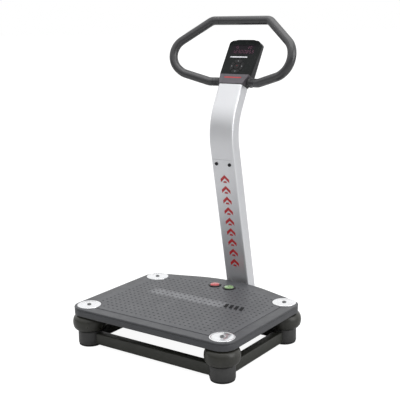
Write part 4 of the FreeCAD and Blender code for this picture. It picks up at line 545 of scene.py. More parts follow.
def boltTree():
    # cap heads with a hexagon socket, standing on points along their facing
    tree = newTree("bolt_heads", (("Radius", "Float", 0.007), ("Height", "Float", 0.003),
                                  ("Socket", "Float", 0.003), ("Material", "Material", None)))
    entry = addNode(tree, "NodeGroupInput")
    head = addNode(tree, "GeometryNodeMeshCylinder", {"Vertices": 32, "Radius": entry.outputs["Radius"],
                                                      "Depth": entry.outputs["Height"]})
    well = addNode(tree, "GeometryNodeMeshCylinder", {"Vertices": 6, "Radius": entry.outputs["Socket"],
                                                      "Depth": entry.outputs["Height"]})
    lift = addNode(tree, "ShaderNodeMath", {0: entry.outputs["Height"], 1: 0.5}, operation="MULTIPLY")
    up = addNode(tree, "ShaderNodeCombineXYZ", {"Z": lift.outputs[0]})
    lowered = addNode(tree, "GeometryNodeTransform", {"Geometry": head.outputs["Mesh"],
                                                      "Translation": up.outputs[0]})
    raisedZ = addNode(tree, "ShaderNodeMath", {0: entry.outputs["Height"], 1: 1.05}, operation="MULTIPLY")
    raisedUp = addNode(tree, "ShaderNodeCombineXYZ", {"Z": raisedZ.outputs[0]})
    raised = addNode(tree, "GeometryNodeTransform", {"Geometry": well.outputs["Mesh"],
                                                     "Translation": raisedUp.outputs[0]})
    bored = addNode(tree, "GeometryNodeMeshBoolean", operation="DIFFERENCE")
    bored.solver = "EXACT"
    tree.links.new(lowered.outputs[0], bored.inputs["Mesh 1"])
    tree.links.new(raised.outputs[0], bored.inputs["Mesh 2"])
    facing = addNode(tree, "GeometryNodeInputNamedAttribute", {"Name": "facing"}, data_type="FLOAT_VECTOR")
    turn = addNode(tree, "FunctionNodeAlignRotationToVector",
                   {"Vector": attributeOf(facing)}, axis="Z")
    placed = addNode(tree, "GeometryNodeInstanceOnPoints", {"Points": entry.outputs["Geometry"],
                                                            "Instance": bored.outputs["Mesh"],
                                                            "Rotation": turn.outputs[0]})
    return ended(tree, entry, placed.outputs[0])


boltHeads = boltTree()


def bolts(name, spots, radius, height, socketRadius, material):
    source = pointCloud(name + "_spots", spots)
    heads = grown(name, source, boltHeads, {"Radius": radius, "Height": height, "Socket": socketRadius,
                                            "Material": finishes[material]}, material)
    modifier = heads.modifiers.new("edges", "BEVEL")
    modifier.width = height * 0.16
    modifier.segments = 2
    modifier.limit_method = "ANGLE"
    modifier.angle_limit = math.radians(40)
    applied(heads)
    smooth(heads.data)
    return heads


# the floor frame: four posts, four rails, feet and weld beads

base = {"postX": 0.320, "postY": 0.220, "postRadius": 0.048, "postLow": 0.008, "postHigh": 0.060,
        "edge": 0.0012, "railWidth": 0.036, "railLow": 0.009, "railHigh": 0.054, "railCorner": 0.004,
        "bury": 0.003, "weld": 0.0024, "weldStep": 0.0032, "weldOff": 0.0004, "footRim": 0.0462,
        "footHigh": 0.0081, "studRadius": 0.006, "studHigh": 0.017}
corners = {"front_left": (-1, -1), "front_right": (1, -1), "rear_left": (-1, 1), "rear_right": (1, 1)}


def postSpot(corner):
    side, end = corners[corner]
    return (side * base["postX"], end * base["postY"], 0)


def makePosts():
    radius, low, high, edge = base["postRadius"], base["postLow"], base["postHigh"], base["edge"]
    studRadius, studHigh = base["studRadius"], high + base["studHigh"]
    profile = [(0, low + 0.002), (radius - 0.003, low + 0.002), (radius - 0.003, low)]
    profile += [(x, z) for x, z in arc(radius - edge, low + edge, edge, -90, 0, 3)]
    profile += [(x, z) for x, z in arc(radius - edge, high - edge, edge, 0, 90, 3)]
    profile += [(studRadius, high), (studRadius, studHigh), (0, studHigh)]
    for corner in corners:
        post = turned(corner + "_post_turned", profile, [postSpot(corner)], "postCoat")
        settle(post, "stand", [corner + "_post"])


def makeFeet():
    rim, high = base["footRim"], base["footHigh"]
    profile = [(0, 0.0), (0.030, 0.0), (0.031, 0.0008), (0.034, 0.0008), (0.035, 0.0), (rim - 0.003, 0.0)]
    profile += arc(rim - 0.003, 0.003, 0.003, -90, 0, 4)
    profile += [(rim, high - 0.0013), (rim - 0.0008, high - 0.0003), (rim - 0.004, high), (0, high)]
    feet = turned("floor_feet_moulded", profile, [postSpot(corner) for corner in corners], "footRubber")
    settle(feet, "stand", ["floor_feet"])


def roundedRect(halfX, halfY, corner, steps=4):
    points = []
    for x, y, start in ((halfX - corner, halfY - corner, 0), (corner - halfX, halfY - corner, 90),
                        (corner - halfX, corner - halfY, 180), (halfX - corner, corner - halfY, 270)):
        points += arc(x, y, corner, start, start + 90, steps)
    return points


def makeRails():
    half = base["railWidth"] / 2
    midZ = (base["railLow"] + base["railHigh"]) / 2
    halfZ = (base["railHigh"] - base["railLow"]) / 2
    reach = math.sqrt(base["postRadius"] ** 2 - half ** 2) - base["bury"]
    section = roundedRect(half, halfZ, base["railCorner"])
    for label, alongX, centre in (("front_rail", True, -base["postY"]), ("rear_rail", True, base["postY"]),
                                  ("left_rail", False, -base["postX"]), ("right_rail", False, base["postX"])):
        end = (base["postX"] if alongX else base["postY"]) - reach
        build = bmesh.new()
        rings = []
        for along in (-end, -end / 3, end / 3, end):
            ring = []
            for across, up in section:
                spot = (along, centre + across, midZ + up) if alongX else (centre + across, along, midZ + up)
                ring.append(build.verts.new(spot))
            rings.append(ring)
        bridge(build, rings)
        build.faces.new(rings[0])
        build.faces.new(rings[-1])
        rail = fromBuild(label + "_tube", build, "powderCoat")
        settle(rail, "stand", [label])


def weldTree():
    # overlapping beads along a path
    tree = newTree("weld_beads", (("Bead", "Float", 0.0024), ("Step", "Float", 0.0032),
                                  ("Material", "Material", None)))
    entry = addNode(tree, "NodeGroupInput")
    path = addNode(tree, "GeometryNodeMeshToCurve", {"Mesh": entry.outputs["Geometry"]})
    spaced = addNode(tree, "GeometryNodeCurveToPoints", {"Curve": path.outputs["Curve"],
                                                         "Length": entry.outputs["Step"]}, mode="LENGTH")
    bead = addNode(tree, "GeometryNodeMeshIcoSphere", {"Radius": entry.outputs["Bead"], "Subdivisions": 2})
    flat = addNode(tree, "GeometryNodeTransform", {"Geometry": bead.outputs["Mesh"], "Scale": (1, 1, 0.8)})
    size = addNode(tree, "FunctionNodeRandomValue", {"Seed": 7}, data_type="FLOAT")
    size.inputs[2].default_value = 0.85
    size.inputs[3].default_value = 1.12
    placed = addNode(tree, "GeometryNodeInstanceOnPoints", {
        "Points": spaced.outputs["Points"], "Instance": flat.outputs[0],
        "Rotation": spaced.outputs["Rotation"], "Scale": size.outputs[1]})
    return ended(tree, entry, placed.outputs[0])


def makeWelds():
    # one closed path round each rail end where it meets its post
    off = base["weldOff"]
    radius = base["postRadius"] + off
    half = base["railWidth"] / 2 + off
    low, high = base["railLow"] - off, base["railHigh"] + off
    spread = math.degrees(math.asin(half / radius))
    vertices, edges = [], []
    for corner, (side, end) in corners.items():
        x, y, z = postSpot(corner)
        for facing in (0 if side < 0 else 180, 90 if end < 0 else -90):
            first = len(vertices)
            top = [(px, py, high) for px, py in arc(x, y, radius, facing - spread, facing + spread, 8)]
            bottom = [(px, py, low) for px, py in arc(x, y, radius, facing + spread, facing - spread, 8)]
            vertices += top + bottom
            count = len(top) + len(bottom)
            edges += [(first + step, first + (step + 1) % count) for step in range(count)]
    mesh = bpy.data.meshes.new("weld_paths")
    mesh.from_pydata(vertices, edges, [])
    welds = grown("rail_welds", meshObject("weld_paths", mesh), weldTree(),
                  {"Bead": base["weld"], "Step": base["weldStep"], "Material": finishes["weld"]}, "weld")
    smooth(welds.data, 60)
    settle(welds, "stand")


makePosts()
makeFeet()
makeRails()
makeWelds()
print("floor frame made")

# the bulb springs, which stretch between the floor frame and the deck

spring = {"end": 0.049, "belly": 0.0675, "low": 0.060, "high": 0.128, "lip": 0.0045, "steps": 96,
          "rows": 26, "bore": 0.0075, "tuck": 0.0035, "fullness": 0.86, "mouldingLine": 0.00022}


def makeSprings():
    low, high, lip = spring["low"], spring["high"], spring["lip"]
    end, belly = spring["end"], spring["belly"]
    half = (high - low) / 2 - lip
    middle = (high + low) / 2
    tuck, bore, rows = end - spring["tuck"], spring["bore"], spring["rows"]
    profile = [(0, low + 0.0006), (bore, low + 0.0006), (bore, low + 0.0001), (tuck, low + 0.0001),
               (tuck, low + lip * 0.45), (end - 0.0008, low + lip * 0.6), (end, low + lip * 0.85)]
    for row in range(rows + 1):
        rise = -1 + 2 * row / rows
        swell = math.sqrt(max(0.0, 1 - rise * rise)) ** spring["fullness"]
        radius = end + 0.0006 + (belly - end - 0.0006) * swell
        if abs(rise) < 0.02:
            radius += spring["mouldingLine"]
        profile.append((radius, middle + rise * half))
    profile += [(end, high - lip * 0.85), (end - 0.0008, high - lip * 0.6), (tuck, high - lip * 0.45),
                (tuck, high - 0.0001), (bore, high - 0.0001), (bore, high - 0.0006),
                (0, high - 0.0006)]
    for corner in corners:
        spot = postSpot(corner)
        bulb = turned(corner + "_bulb_spring", profile, [spot], "springRubber", steps=spring["steps"],
                      angle=50)
        foot, head = (spot[0], spot[1], low), (spot[0], spot[1], high)
        settle(bulb, None, [corner + "_spring"], blend=("stand", "deck", foot, head))


makeSprings()
print("springs made")

# the deck: moulded shell, mat, studs and marks

deck = {"halfWidth": 0.380, "front": -0.278, "rear": 0.349, "corner": 0.058, "rearArc": 0.569,
        "rearAngle": 18.4, "low": 0.128, "high": 0.160, "edge": 0.0036, "wall": 0.004, "groove": 0.1525}


def deckOutline(inset, fan=10, arcSteps=28):
    # the deck's rounded outline, drawn smaller by an inset
    radius = deck["corner"] - inset
    half = deck["halfWidth"] - deck["corner"]
    front = deck["front"] + deck["corner"]
    coreArc = deck["rearArc"] - deck["corner"]
    arcCentre = deck["rear"] - deck["rearArc"]
    angle = deck["rearAngle"]
    shoulderX = coreArc * math.sin(math.radians(angle))
    shoulderY = arcCentre + coreArc * math.cos(math.radians(angle))
    cornerY = shoulderY - (half - shoulderX) * math.tan(math.radians(angle))
    points = arc(half, front, radius, -90, 0, fan)
    points += arc(half, cornerY, radius, 0, 90 - angle, fan)
    points += arc(0, arcCentre, coreArc + radius, 90 - angle, 90 + angle, arcSteps)
    points += arc(-half, cornerY, radius, 90 + angle, 180, fan)
    points += arc(-half, front, radius, 180, 270, fan)
    return points


def makeDeckCover():
    low, high, edge = deck["low"], deck["high"], deck["edge"]
    groove = deck["groove"]
    rows = [(deck["wall"], low + 0.014), (deck["wall"], low), (0.0022, low), (0.0012, low + 0.0010),
            (0.0008, low + 0.006), (0.0008, groove - 0.0016), (0.0012, groove - 0.0008), (0.0022, groove),
            (0.0012, groove + 0.0008), (0.0004, groove + 0.0016), (0, groove + 0.003)]
    rows += [(edge - edge * math.cos(math.radians(step * 15)),
              high - edge + edge * math.sin(math.radians(step * 15))) for step in range(7)]
    rows += [(0.006, high), (0.020, high), (0.044, high), (0.060, high)]
    build = bmesh.new()
    rings = [[build.verts.new((x, y, z)) for x, y in deckOutline(inset)] for inset, z in rows]
    bridge(build, rings)
    build.faces.new(rings[-1])
    under = build.faces.new(list(reversed(rings[0])))
    under.normal_update()
    cover = fromBuild("deck_shell", build, "deckShell", 40)
    settle(cover, "deck", ["deck_cover"])


def makeMat():
    mat = nodeCopy("deck_mat_sheet", ["deck_mat"], "mat", bevel=0.0005)
    settle(mat, "deck", ["deck_mat"])


def studTree():
    # low round studs on a square grid over a flat sheet, kept clear of its edges
    tree = newTree("mat_studs", (("Pitch", "Float", 0.0235), ("Radius", "Float", 0.0045),
                                 ("Height", "Float", 0.001), ("Margin", "Float", 0.009),
                                 ("Columns", "Int", 29), ("Rows", "Int", 25), ("First", "Vector", (0, 0, 0)),
                                 ("Material", "Material", None)))
    entry = addNode(tree, "NodeGroupInput")

    def calc(operation, first, second=0.0):
        return mathNode(tree, operation, first, second)

    def spread(count):
        return calc("MULTIPLY", calc("SUBTRACT", count, 1.0), entry.outputs["Pitch"])

    grid = addNode(tree, "GeometryNodeMeshGrid", {
        "Size X": spread(entry.outputs["Columns"]), "Size Y": spread(entry.outputs["Rows"]),
        "Vertices X": entry.outputs["Columns"], "Vertices Y": entry.outputs["Rows"]})
    moved = addNode(tree, "GeometryNodeSetPosition", {"Geometry": grid.outputs["Mesh"],
                                                      "Offset": entry.outputs["First"]})
    border = addNode(tree, "GeometryNodeInputMeshEdgeNeighbors")
    single = addNode(tree, "FunctionNodeCompare", data_type="INT", operation="EQUAL")
    tree.links.new(border.outputs[0], single.inputs[2])
    single.inputs[3].default_value = 1
    rim = addNode(tree, "GeometryNodeSeparateGeometry", {"Geometry": entry.outputs["Geometry"],
                                                         "Selection": single.outputs[0]}, domain="EDGE")
    near = addNode(tree, "GeometryNodeProximity", {0: rim.outputs["Selection"]}, target_element="EDGES")
    close = calc("LESS_THAN", near.outputs["Distance"], entry.outputs["Margin"])
    over = addNode(tree, "GeometryNodeRaycast", {"Ray Direction": (0, 0, -1), "Ray Length": 0.02})
    tree.links.new(entry.outputs["Geometry"], over.inputs["Target Geometry"])
    spot = addNode(tree, "GeometryNodeInputPosition").outputs[0]
    above = addNode(tree, "ShaderNodeVectorMath", {0: spot, 1: (0, 0, 0.01)}, operation="ADD").outputs[0]
    tree.links.new(above, over.inputs["Source Position"])
    missed = calc("SUBTRACT", 1.0, over.outputs["Is Hit"])
    kept = addNode(tree, "GeometryNodeDeleteGeometry", {
        "Geometry": moved.outputs[0], "Selection": calc("MAXIMUM", close, missed)}, domain="POINT")
    dome = addNode(tree, "GeometryNodeMeshUVSphere", {"Segments": 16, "Rings": 6,
                                                      "Radius": entry.outputs["Radius"]})
    share = calc("DIVIDE", entry.outputs["Height"], entry.outputs["Radius"])
    flat = addNode(tree, "ShaderNodeCombineXYZ", {"X": 1.0, "Y": 1.0, "Z": share})
    stud = addNode(tree, "GeometryNodeTransform", {"Geometry": dome.outputs["Mesh"],
                                                   "Scale": flat.outputs[0]})
    placed = addNode(tree, "GeometryNodeInstanceOnPoints", {"Points": kept.outputs[0],
                                                            "Instance": stud.outputs[0]})
    return ended(tree, entry, placed.outputs[0])


studs = {"Pitch": 0.0235, "Radius": 0.0047, "Height": 0.0011, "Margin": 0.009, "Columns": 29, "Rows": 25}
studRow = 0.035  # the middle row's place along the deck


def makeStuds():
    low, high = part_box("deck_mat")
    level = high.z
    build = bmesh.new()
    build.from_mesh(cad["deck_mat"].data)
    bmesh.ops.remove_doubles(build, verts=build.verts, dist=2e-6)
    lower = [face for face in build.faces if min(vertex.co.z for vertex in face.verts) < level - 1e-5]
    bmesh.ops.delete(build, geom=lower, context="FACES")
    mesh = bpy.data.meshes.new("mat_top")
    build.to_mesh(mesh)
    build.free()
    values = dict(studs, First=(0.0, studRow, level), Material=finishes["stud"])
    field = grown("mat_studs", meshObject("mat_top", mesh), studTree(), values, "stud")
    smooth(field.data, 60)
    print("stud faces:", len(field.data.polygons))
    settle(field, "deck")


ticks = {"x": (0.134, 0.158, 0.182, 0.206), "width": 0.015, "slant": -0.013, "y": (0.043, 0.084),
         "thick": 0.0003}


def makeTicks():
    # plain dark slanted marks after the band
    build = bmesh.new()
    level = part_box("deck_mat")[1].z
    low, high = ticks["y"]
    for x in ticks["x"]:
        outline = [(x - ticks["slant"], low), (x - ticks["slant"] + ticks["width"], low),
                   (x + ticks["width"], high), (x, high)]
        bottom = [build.verts.new((px, py, level - 0.0002)) for px, py in outline]
        top = [build.verts.new((px, py, level + ticks["thick"])) for px, py in outline]
        build.faces.new(top)
        build.faces.new(list(reversed(bottom)))
        bridge(build, [bottom, top])
    marks = fromBuild("mat_marks", build, "tickInk")
    settle(marks, "deck")


makeDeckCover()
makeMat()
makeStuds()
makeTicks()
print("deck made")

# the corner discs and their bolts

disc = {"radius": 0.0475, "thick": 0.003, "bolt": 0.008, "boltHigh": 0.003, "socket": 0.0036}


def makeDiscs():
    high, thick, radius = deck["high"], disc["thick"], disc["radius"]
    profile = [(0.0056, high), (radius - 0.0004, high), (radius, high + 0.0004), (radius, high + 0.0012)]
    profile += arc(radius - 0.0018, high + 0.0012, 0.0018, 0, 90, 5)
    profile += [(radius - 0.006, high + thick), (radius - 0.0072, high + thick - 0.0005),
                (radius - 0.0084, high + thick - 0.0005), (radius - 0.0096, high + thick),
                (0.0125, high + thick), (0.0115, high + thick - 0.0008), (0.0056, high + thick - 0.0008)]
    spots = [(x, y, 0) for x, y, z in map(postSpot, corners)]
    discs = turned("corner_discs_polished", profile, spots, "chrome", steps=96)
    settle(discs, "deck", ["corner_discs"])
    level = high + thick - 0.0009
    heads = bolts("disc_bolt_heads", [((x, y, level), (0, 0, 1)) for x, y, z in spots], disc["bolt"],
                  disc["boltHigh"] + 0.0009, disc["socket"], "boltGrey")
    settle(heads, "deck", ["disc_bolts"])


makeDiscs()

# the two push buttons

button = {"x": 0.036, "y": 0.252, "radius": 0.020, "high": 0.170, "ring": 0.025, "ringHigh": 0.1655}


def makeButtons():
    level = deck["high"]
    radius, high = button["radius"], button["high"]
    ringHigh, ring = button["ringHigh"], button["ring"]
    bore = radius + 0.0006
    well = level - 0.010
    bezel = [(bore, well), (0.0222, well), (0.0222, level - 0.0002), (ring - 0.0004, level - 0.0002),
             (ring, level + 0.0004), (ring, ringHigh - 0.0022)]
    bezel += arc(ring - 0.0022, ringHigh - 0.0022, 0.0022, 0, 90, 5)
    bezel += [(bore + 0.0005, ringHigh), (bore, ringHigh - 0.0005)]
    spots = [(side * button["x"], button["y"], 0) for side in (1, -1)]
    rings = turned("button_rings", bezel, spots, "socket", steps=72)
    settle(rings, "deck", ["button_bezels"])
    cap = [(0, level - 0.0015), (radius - 0.0006, level - 0.0015), (radius, level - 0.0009)]
    cap += [(radius, high - 0.0046)]
    cap += arc(radius - 0.0026, high - 0.0046, 0.0026, 0, 80, 5)
    cap += [(0.0150, high - 0.0012), (0.0142, high - 0.0017), (0.0134, high - 0.0012), (0.009, high - 0.0004),
            (0.0045, high - 0.00005), (0, high)]
    for label, side, material in (("start_button", 1, "greenCap"), ("stop_button", -1, "redCap")):
        spot = (side * button["x"], button["y"], 0)
        thing = turned(label + "_cap", cap, [spot], material, steps=72)
        settle(thing, label, [label])


makeButtons()
print("discs and buttons made")

# the column, with the frames that the neck and the console face stand in

column = {"jointY": 0.2950, "jointZ": 0.7052, "lean": 10.3, "seam": 0.0009, "boltX": 0.032,
          "boltDrop": 0.019, "halfDepth": 0.0275, "headRadius": 0.0072, "headHigh": 0.0034,
          "headSocket": 0.0034}
columnTurn = Matrix.Translation((0, column["jointY"], column["jointZ"])) @ \
    Matrix.Rotation(math.radians(column["lean"]), 4, "X")
neck = {"y": 0.353356, "z": 0.992544, "lean": 27.9}
neckTurn = Matrix.Translation((0, neck["y"], neck["z"])) @ \
    Matrix.Rotation(-math.radians(neck["lean"]), 4, "X")
face = {"depth": -0.017, "rise": 0.048, "lean": math.degrees(math.atan2(0.017, 0.139))}
faceTurn = neckTurn @ Matrix.Translation((0, face["depth"], face["rise"])) @ \
    Matrix.Rotation(-math.radians(face["lean"]), 4, "X")


def makeColumn():
    inverse = columnTurn.inverted()

    def openSeam(build):
        # lifts the upper column's lower end off the lower column
        for vertex in build.verts:
            local = inverse @ vertex.co
            if abs(local.z) < 1e-4:
                vertex.co = columnTurn @ Vector((local.x, local.y, column["seam"]))

    upper = nodeCopy("upper_column_tube", ["upper_column"], "silver", angle=28, edit=openSeam)
    settle(upper, "stand", ["upper_column"])
    lower = nodeCopy("lower_column_tube", ["lower_column"], "silver", angle=28)
    settle(lower, "stand", ["lower_column"])
    spots = []
    for side in (1, -1):
        for end in (1, -1):
            spot = columnTurn @ Vector((side * column["boltX"], end * column["halfDepth"],
                                        -column["boltDrop"]))
            facing = columnTurn.to_3x3() @ Vector((0, end, 0))
            spots.append((spot, facing))
    heads = bolts("joint_bolt_heads", spots, column["headRadius"], column["headHigh"], column["headSocket"],
                  "darkBolt")
    settle(heads, "stand", ["joint_bolts"])


chevron = {"low": -0.482, "high": -0.052, "count": 9, "width": 0.042, "rise": 0.019, "bar": 0.0150,
           "thick": 0.0003, "footLow": -0.001, "footHigh": 0.007, "footWide": 0.45, "footNarrow": 0.30}


def repeatTree():
    # one mark repeated up a line
    tree = newTree("repeated_marks", (("Count", "Int", 9), ("Pitch", "Float", 0.05),
                                      ("Material", "Material", None)))
    entry = addNode(tree, "NodeGroupInput")
    pitch = addNode(tree, "ShaderNodeCombineXYZ", {"Z": entry.outputs["Pitch"]})
    line = addNode(tree, "GeometryNodeMeshLine", {"Count": entry.outputs["Count"],
                                                  "Offset": pitch.outputs[0]}, mode="OFFSET")
    placed = addNode(tree, "GeometryNodeInstanceOnPoints", {"Points": line.outputs["Mesh"],
                                                            "Instance": entry.outputs["Geometry"]})
    return ended(tree, entry, placed.outputs[0])


def prismMesh(name, outlines, low, high):
    # flat outlines (x, z) given a thickness along y
    build = bmesh.new()
    for outline in outlines:
        front = [build.verts.new((x, low, z)) for x, z in outline]
        back = [build.verts.new((x, high, z)) for x, z in outline]
        build.faces.new(front)
        build.faces.new(list(reversed(back)))
        for step in range(len(outline)):
            after = (step + 1) % len(outline)
            build.faces.new((front[after], front[step], back[step], back[after]))
    bmesh.ops.recalc_face_normals(build, faces=build.faces)
    mesh = bpy.data.meshes.new(name)
    build.to_mesh(mesh)
    build.free()
    return mesh


def makeChevrons():
    # plain red decoration on the lower column's front
    half, rise, thick = chevron["width"] / 2, chevron["rise"], chevron["bar"]
    front = -column["halfDepth"]
    wide, narrow = half * chevron["footWide"], half * chevron["footNarrow"]
    footLow, footHigh = chevron["footLow"], chevron["footHigh"]
    outlines = [[(-half, 0.0), (0.0, rise), (half, 0.0), (half, thick), (0.0, rise + thick), (-half, thick)],
                [(-wide, footLow), (wide, footLow), (narrow, footHigh), (-narrow, footHigh)]]
    mesh = prismMesh("chevron", outlines, front - chevron["thick"], front + 0.0002)
    pitch = (chevron["high"] - chevron["low"]) / chevron["count"]
    marks = grown("column_chevrons", meshObject("chevron", mesh), repeatTree(),
                  {"Count": chevron["count"], "Pitch": pitch, "Material": finishes["redInk"]}, "redInk")
    marks.data.transform(columnTurn @ Matrix.Translation((0, 0, chevron["low"])))
    settle(marks, "stand")


makeColumn()
makeChevrons()
print("column made")

# the console

console = {"edge": 0.0009, "faceEdge": 0.0005, "coverEdge": 0.0007, "gasketEdge": 0.0004,
           "lineShift": 0.007, "lineShare": 0.62, "screwX": 0.055, "screwDepth": 0.033,
           "screwRises": (0.072, 0.178), "screw": (0.0036, 0.0018, 0.0015)}


def makeConsole():
    shell = nodeCopy("console_back_shell", ["console_back"], "consoleGrey", bevel=console["edge"], angle=40)
    settle(shell, "stand", ["console_back"])
    front = nodeCopy("console_face_shell", ["console_face"], "facePanel", bevel=console["faceEdge"], angle=40)
    settle(front, "stand", ["console_face"])
    cover = nodeCopy("neck_cover_shell", ["neck_cover"], "neckGrey", bevel=console["coverEdge"], angle=40)
    settle(cover, "stand", ["neck_cover"])
    gasket = nodeCopy("neck_gasket_ring", ["neck_gasket"], "gasket", bevel=console["gasketEdge"])
    settle(gasket, "stand", ["neck_gasket"])
    pane = nodeCopy("display_window_pane", ["display_window"], "window", bevel=0.0002)
    settle(pane, "stand", ["display_window"])

    def thinner(build):  # the bright line is finer than its solid
        build.transform(faceTurn.inverted())
        middle = sum(vert.co.y for vert in build.verts) / len(build.verts)
        for vert in build.verts:
            vert.co.x -= console["lineShift"]
            vert.co.y = middle + (vert.co.y - middle) * console["lineShare"]
        build.transform(faceTurn)

    trim = nodeCopy("trim_strip_bar", ["trim_strip"], "paleInk", bevel=0.0002, edit=thinner)
    settle(trim, "stand", ["trim_strip"])
    for label in ("up_key", "right_key", "down_key", "left_key", "centre_key"):
        key = nodeCopy(label + "_cap", [label], "keyTop", bevel=0.0004)
        settle(key, label, [label])


def frontOf(nodes, turn, x, rise):
    # the depth in a turned frame where a line from the front first meets the nodes
    inverse = turn.inverted()
    start = turn @ Vector((x, -0.2, rise))
    toward = turn.to_3x3() @ Vector((0, 1, 0))
    depths = []
    for node in nodes:
        mesh = cad[node].data
        shape = BVHTree.FromPolygons([vertex.co for vertex in mesh.vertices],
                                     [tuple(face.vertices) for face in mesh.polygons])
        spot = shape.ray_cast(start, toward)[0]
        if spot is not None:
            depths.append((inverse @ spot).y)
    return min(depths)


printed = {"thick": 0.00025, "sunk": 0.0003, "neckHalf": 0.041, "neckRise": (0.0268, 0.0345),
           "digitHigh": 0.0135, "digitWide": 0.0082, "digitBar": 0.0017, "digitPitch": 1.6,
           "rows": (("1230", -0.046, 0.100, 1.0), ("0853", 0.008, 0.100, 1.0),
                    ("15", -0.040, 0.1215, 0.8), ("20", 0.024, 0.1215, 0.8)),
           "keyCentre": 0.037, "keyRing": 0.0243, "keyThick": 0.0002,
           "arrow": ((0.0032, 0.0), (-0.0020, 0.0034), (-0.0020, -0.0034)),
           "centreMark": (-0.0006, 0.0006, 0.0005, 0.0052)}
segments = {"top": (0, 2, 1, 2), "upLeft": (0, 1, 0, 2), "upRight": (1, 1, 1, 2), "middle": (0, 1, 1, 1),
            "lowLeft": (0, 0, 0, 1), "lowRight": (1, 0, 1, 1), "bottom": (0, 0, 1, 0)}
figures = {"0": "top upLeft upRight lowLeft lowRight bottom", "1": "upRight lowRight",
           "2": "top upRight middle lowLeft bottom", "3": "top upRight middle lowRight bottom",
           "5": "top upLeft middle lowRight bottom", "8": " ".join(segments)}


def printedPiece(name, outlines, turn, nodes, material, replaced=()):
    # thin raised print lying on the surface of the nodes, square to the turned frame
    xs = [x for outline in outlines for x, z in outline]
    zs = [z for outline in outlines for x, z in outline]
    depth = frontOf(nodes, turn, sum(xs) / len(xs), sum(zs) / len(zs))
    mesh = prismMesh(name, outlines, depth - printed["thick"], depth + printed["sunk"])
    mesh.transform(turn)
    thing = meshObject(name, mesh, material)
    return settle(thing, "stand", replaced)


def rectangle(x1, x2, z1, z2):
    return [(x1, z1), (x2, z1), (x2, z2), (x1, z2)]


def digitOutlines(text, x, rise, size):
    # plain seven-bar figures
    wide, high, bar = (printed[key] * size for key in ("digitWide", "digitHigh", "digitBar"))
    outlines = []
    for number, figure in enumerate(text):
        left = x + number * wide * printed["digitPitch"]
        for key in figures.get(figure, "").split():
            x1, z1, x2, z2 = segments[key]
            if z1 == z2:
                outlines.append(rectangle(left + bar * 0.6, left + wide - bar * 0.6,
                                          rise + z1 * high / 2 - bar / 2, rise + z1 * high / 2 + bar / 2))
            else:
                middle = left + x1 * wide
                outlines.append(rectangle(middle - bar / 2, middle + bar / 2,
                                          rise + z1 * high / 2 + bar * 0.6,
                                          rise + z2 * high / 2 - bar * 0.6))
    return outlines


def makePrints():
    stripeLow, stripeHigh = printed["neckRise"]
    half = printed["neckHalf"]
    printedPiece("neck_stripe", [rectangle(-half, half, stripeLow, stripeHigh)], neckTurn, ["neck_cover"],
                 "redInk")
    rows = [outline for row in printed["rows"] for outline in digitOutlines(*row)]
    printedPiece("display_figures", rows, faceTurn, ["display_window", "console_face"], "digitGlow")
    # arrow marks on the keys, in the face's frame
    centre, ring = printed["keyCentre"], printed["keyRing"]
    thick, sunk = printed["keyThick"], printed["sunk"]
    for label, angle in (("right_key", 0), ("up_key", 90), ("left_key", 180), ("down_key", 270)):
        turn = math.radians(angle)
        outline = []
        for along, across in printed["arrow"]:
            x = (ring + along) * math.cos(turn) - across * math.sin(turn)
            z = (ring + along) * math.sin(turn) + across * math.cos(turn)
            outline.append((x, centre + z))
        depth = frontOf([label], faceTurn, ring * math.cos(turn), centre + ring * math.sin(turn))
        mesh = prismMesh(label + "_mark", [outline], depth - thick, depth + sunk)
        mesh.transform(faceTurn)
        settle(meshObject(label + "_mark", mesh, "dimInk"), label)
    depth = frontOf(["centre_key"], faceTurn, 0, centre)
    left, right, low, high = printed["centreMark"]
    mesh = prismMesh("centre_mark", [rectangle(left, right, centre + low, centre + high)],
                     depth - thick, depth + sunk)
    mesh.transform(faceTurn)
    settle(meshObject("centre_key_mark", mesh, "redInk"), "centre_key")


makeConsole()
makePrints()
print("console made")

# the handlebar loop

bar = {"radius": 0.0178, "spacing": 0.0022, "sides": 40, "round": 0.0016, "endShare": 0.93,
       "waver": 0.00036, "waverScale": 28.0, "bendSteps": 24, "lip": 0.0208,
       "mouth": (0.060, 0.0135, 0.0254, 0.022), "elbow": (0.118, -0.006, 0.016, 0.066),
       "low": (0.235, -0.048, 0.033, 0.080), "side": (0.337, -0.093, 0.097, 0.075),
       "top": (0.139, -0.070, 0.262, 0.035), "collarStart": 0.073, "collarEnd": 0.106,
       "gripGap": 0.0004, "topHalf": 0.100, "tube": 0.014}


def barPoint(name, side):
    x, depth, rise, bend = bar[name]
    return neckTurn @ Vector((side * x, depth, rise)), bend


def collarPoint(side, x):
    mouth = barPoint("mouth", side)[0]
    elbow = barPoint("elbow", side)[0]
    return mouth + (elbow - mouth) * ((x - bar["mouth"][0]) / (bar["elbow"][0] - bar["mouth"][0]))


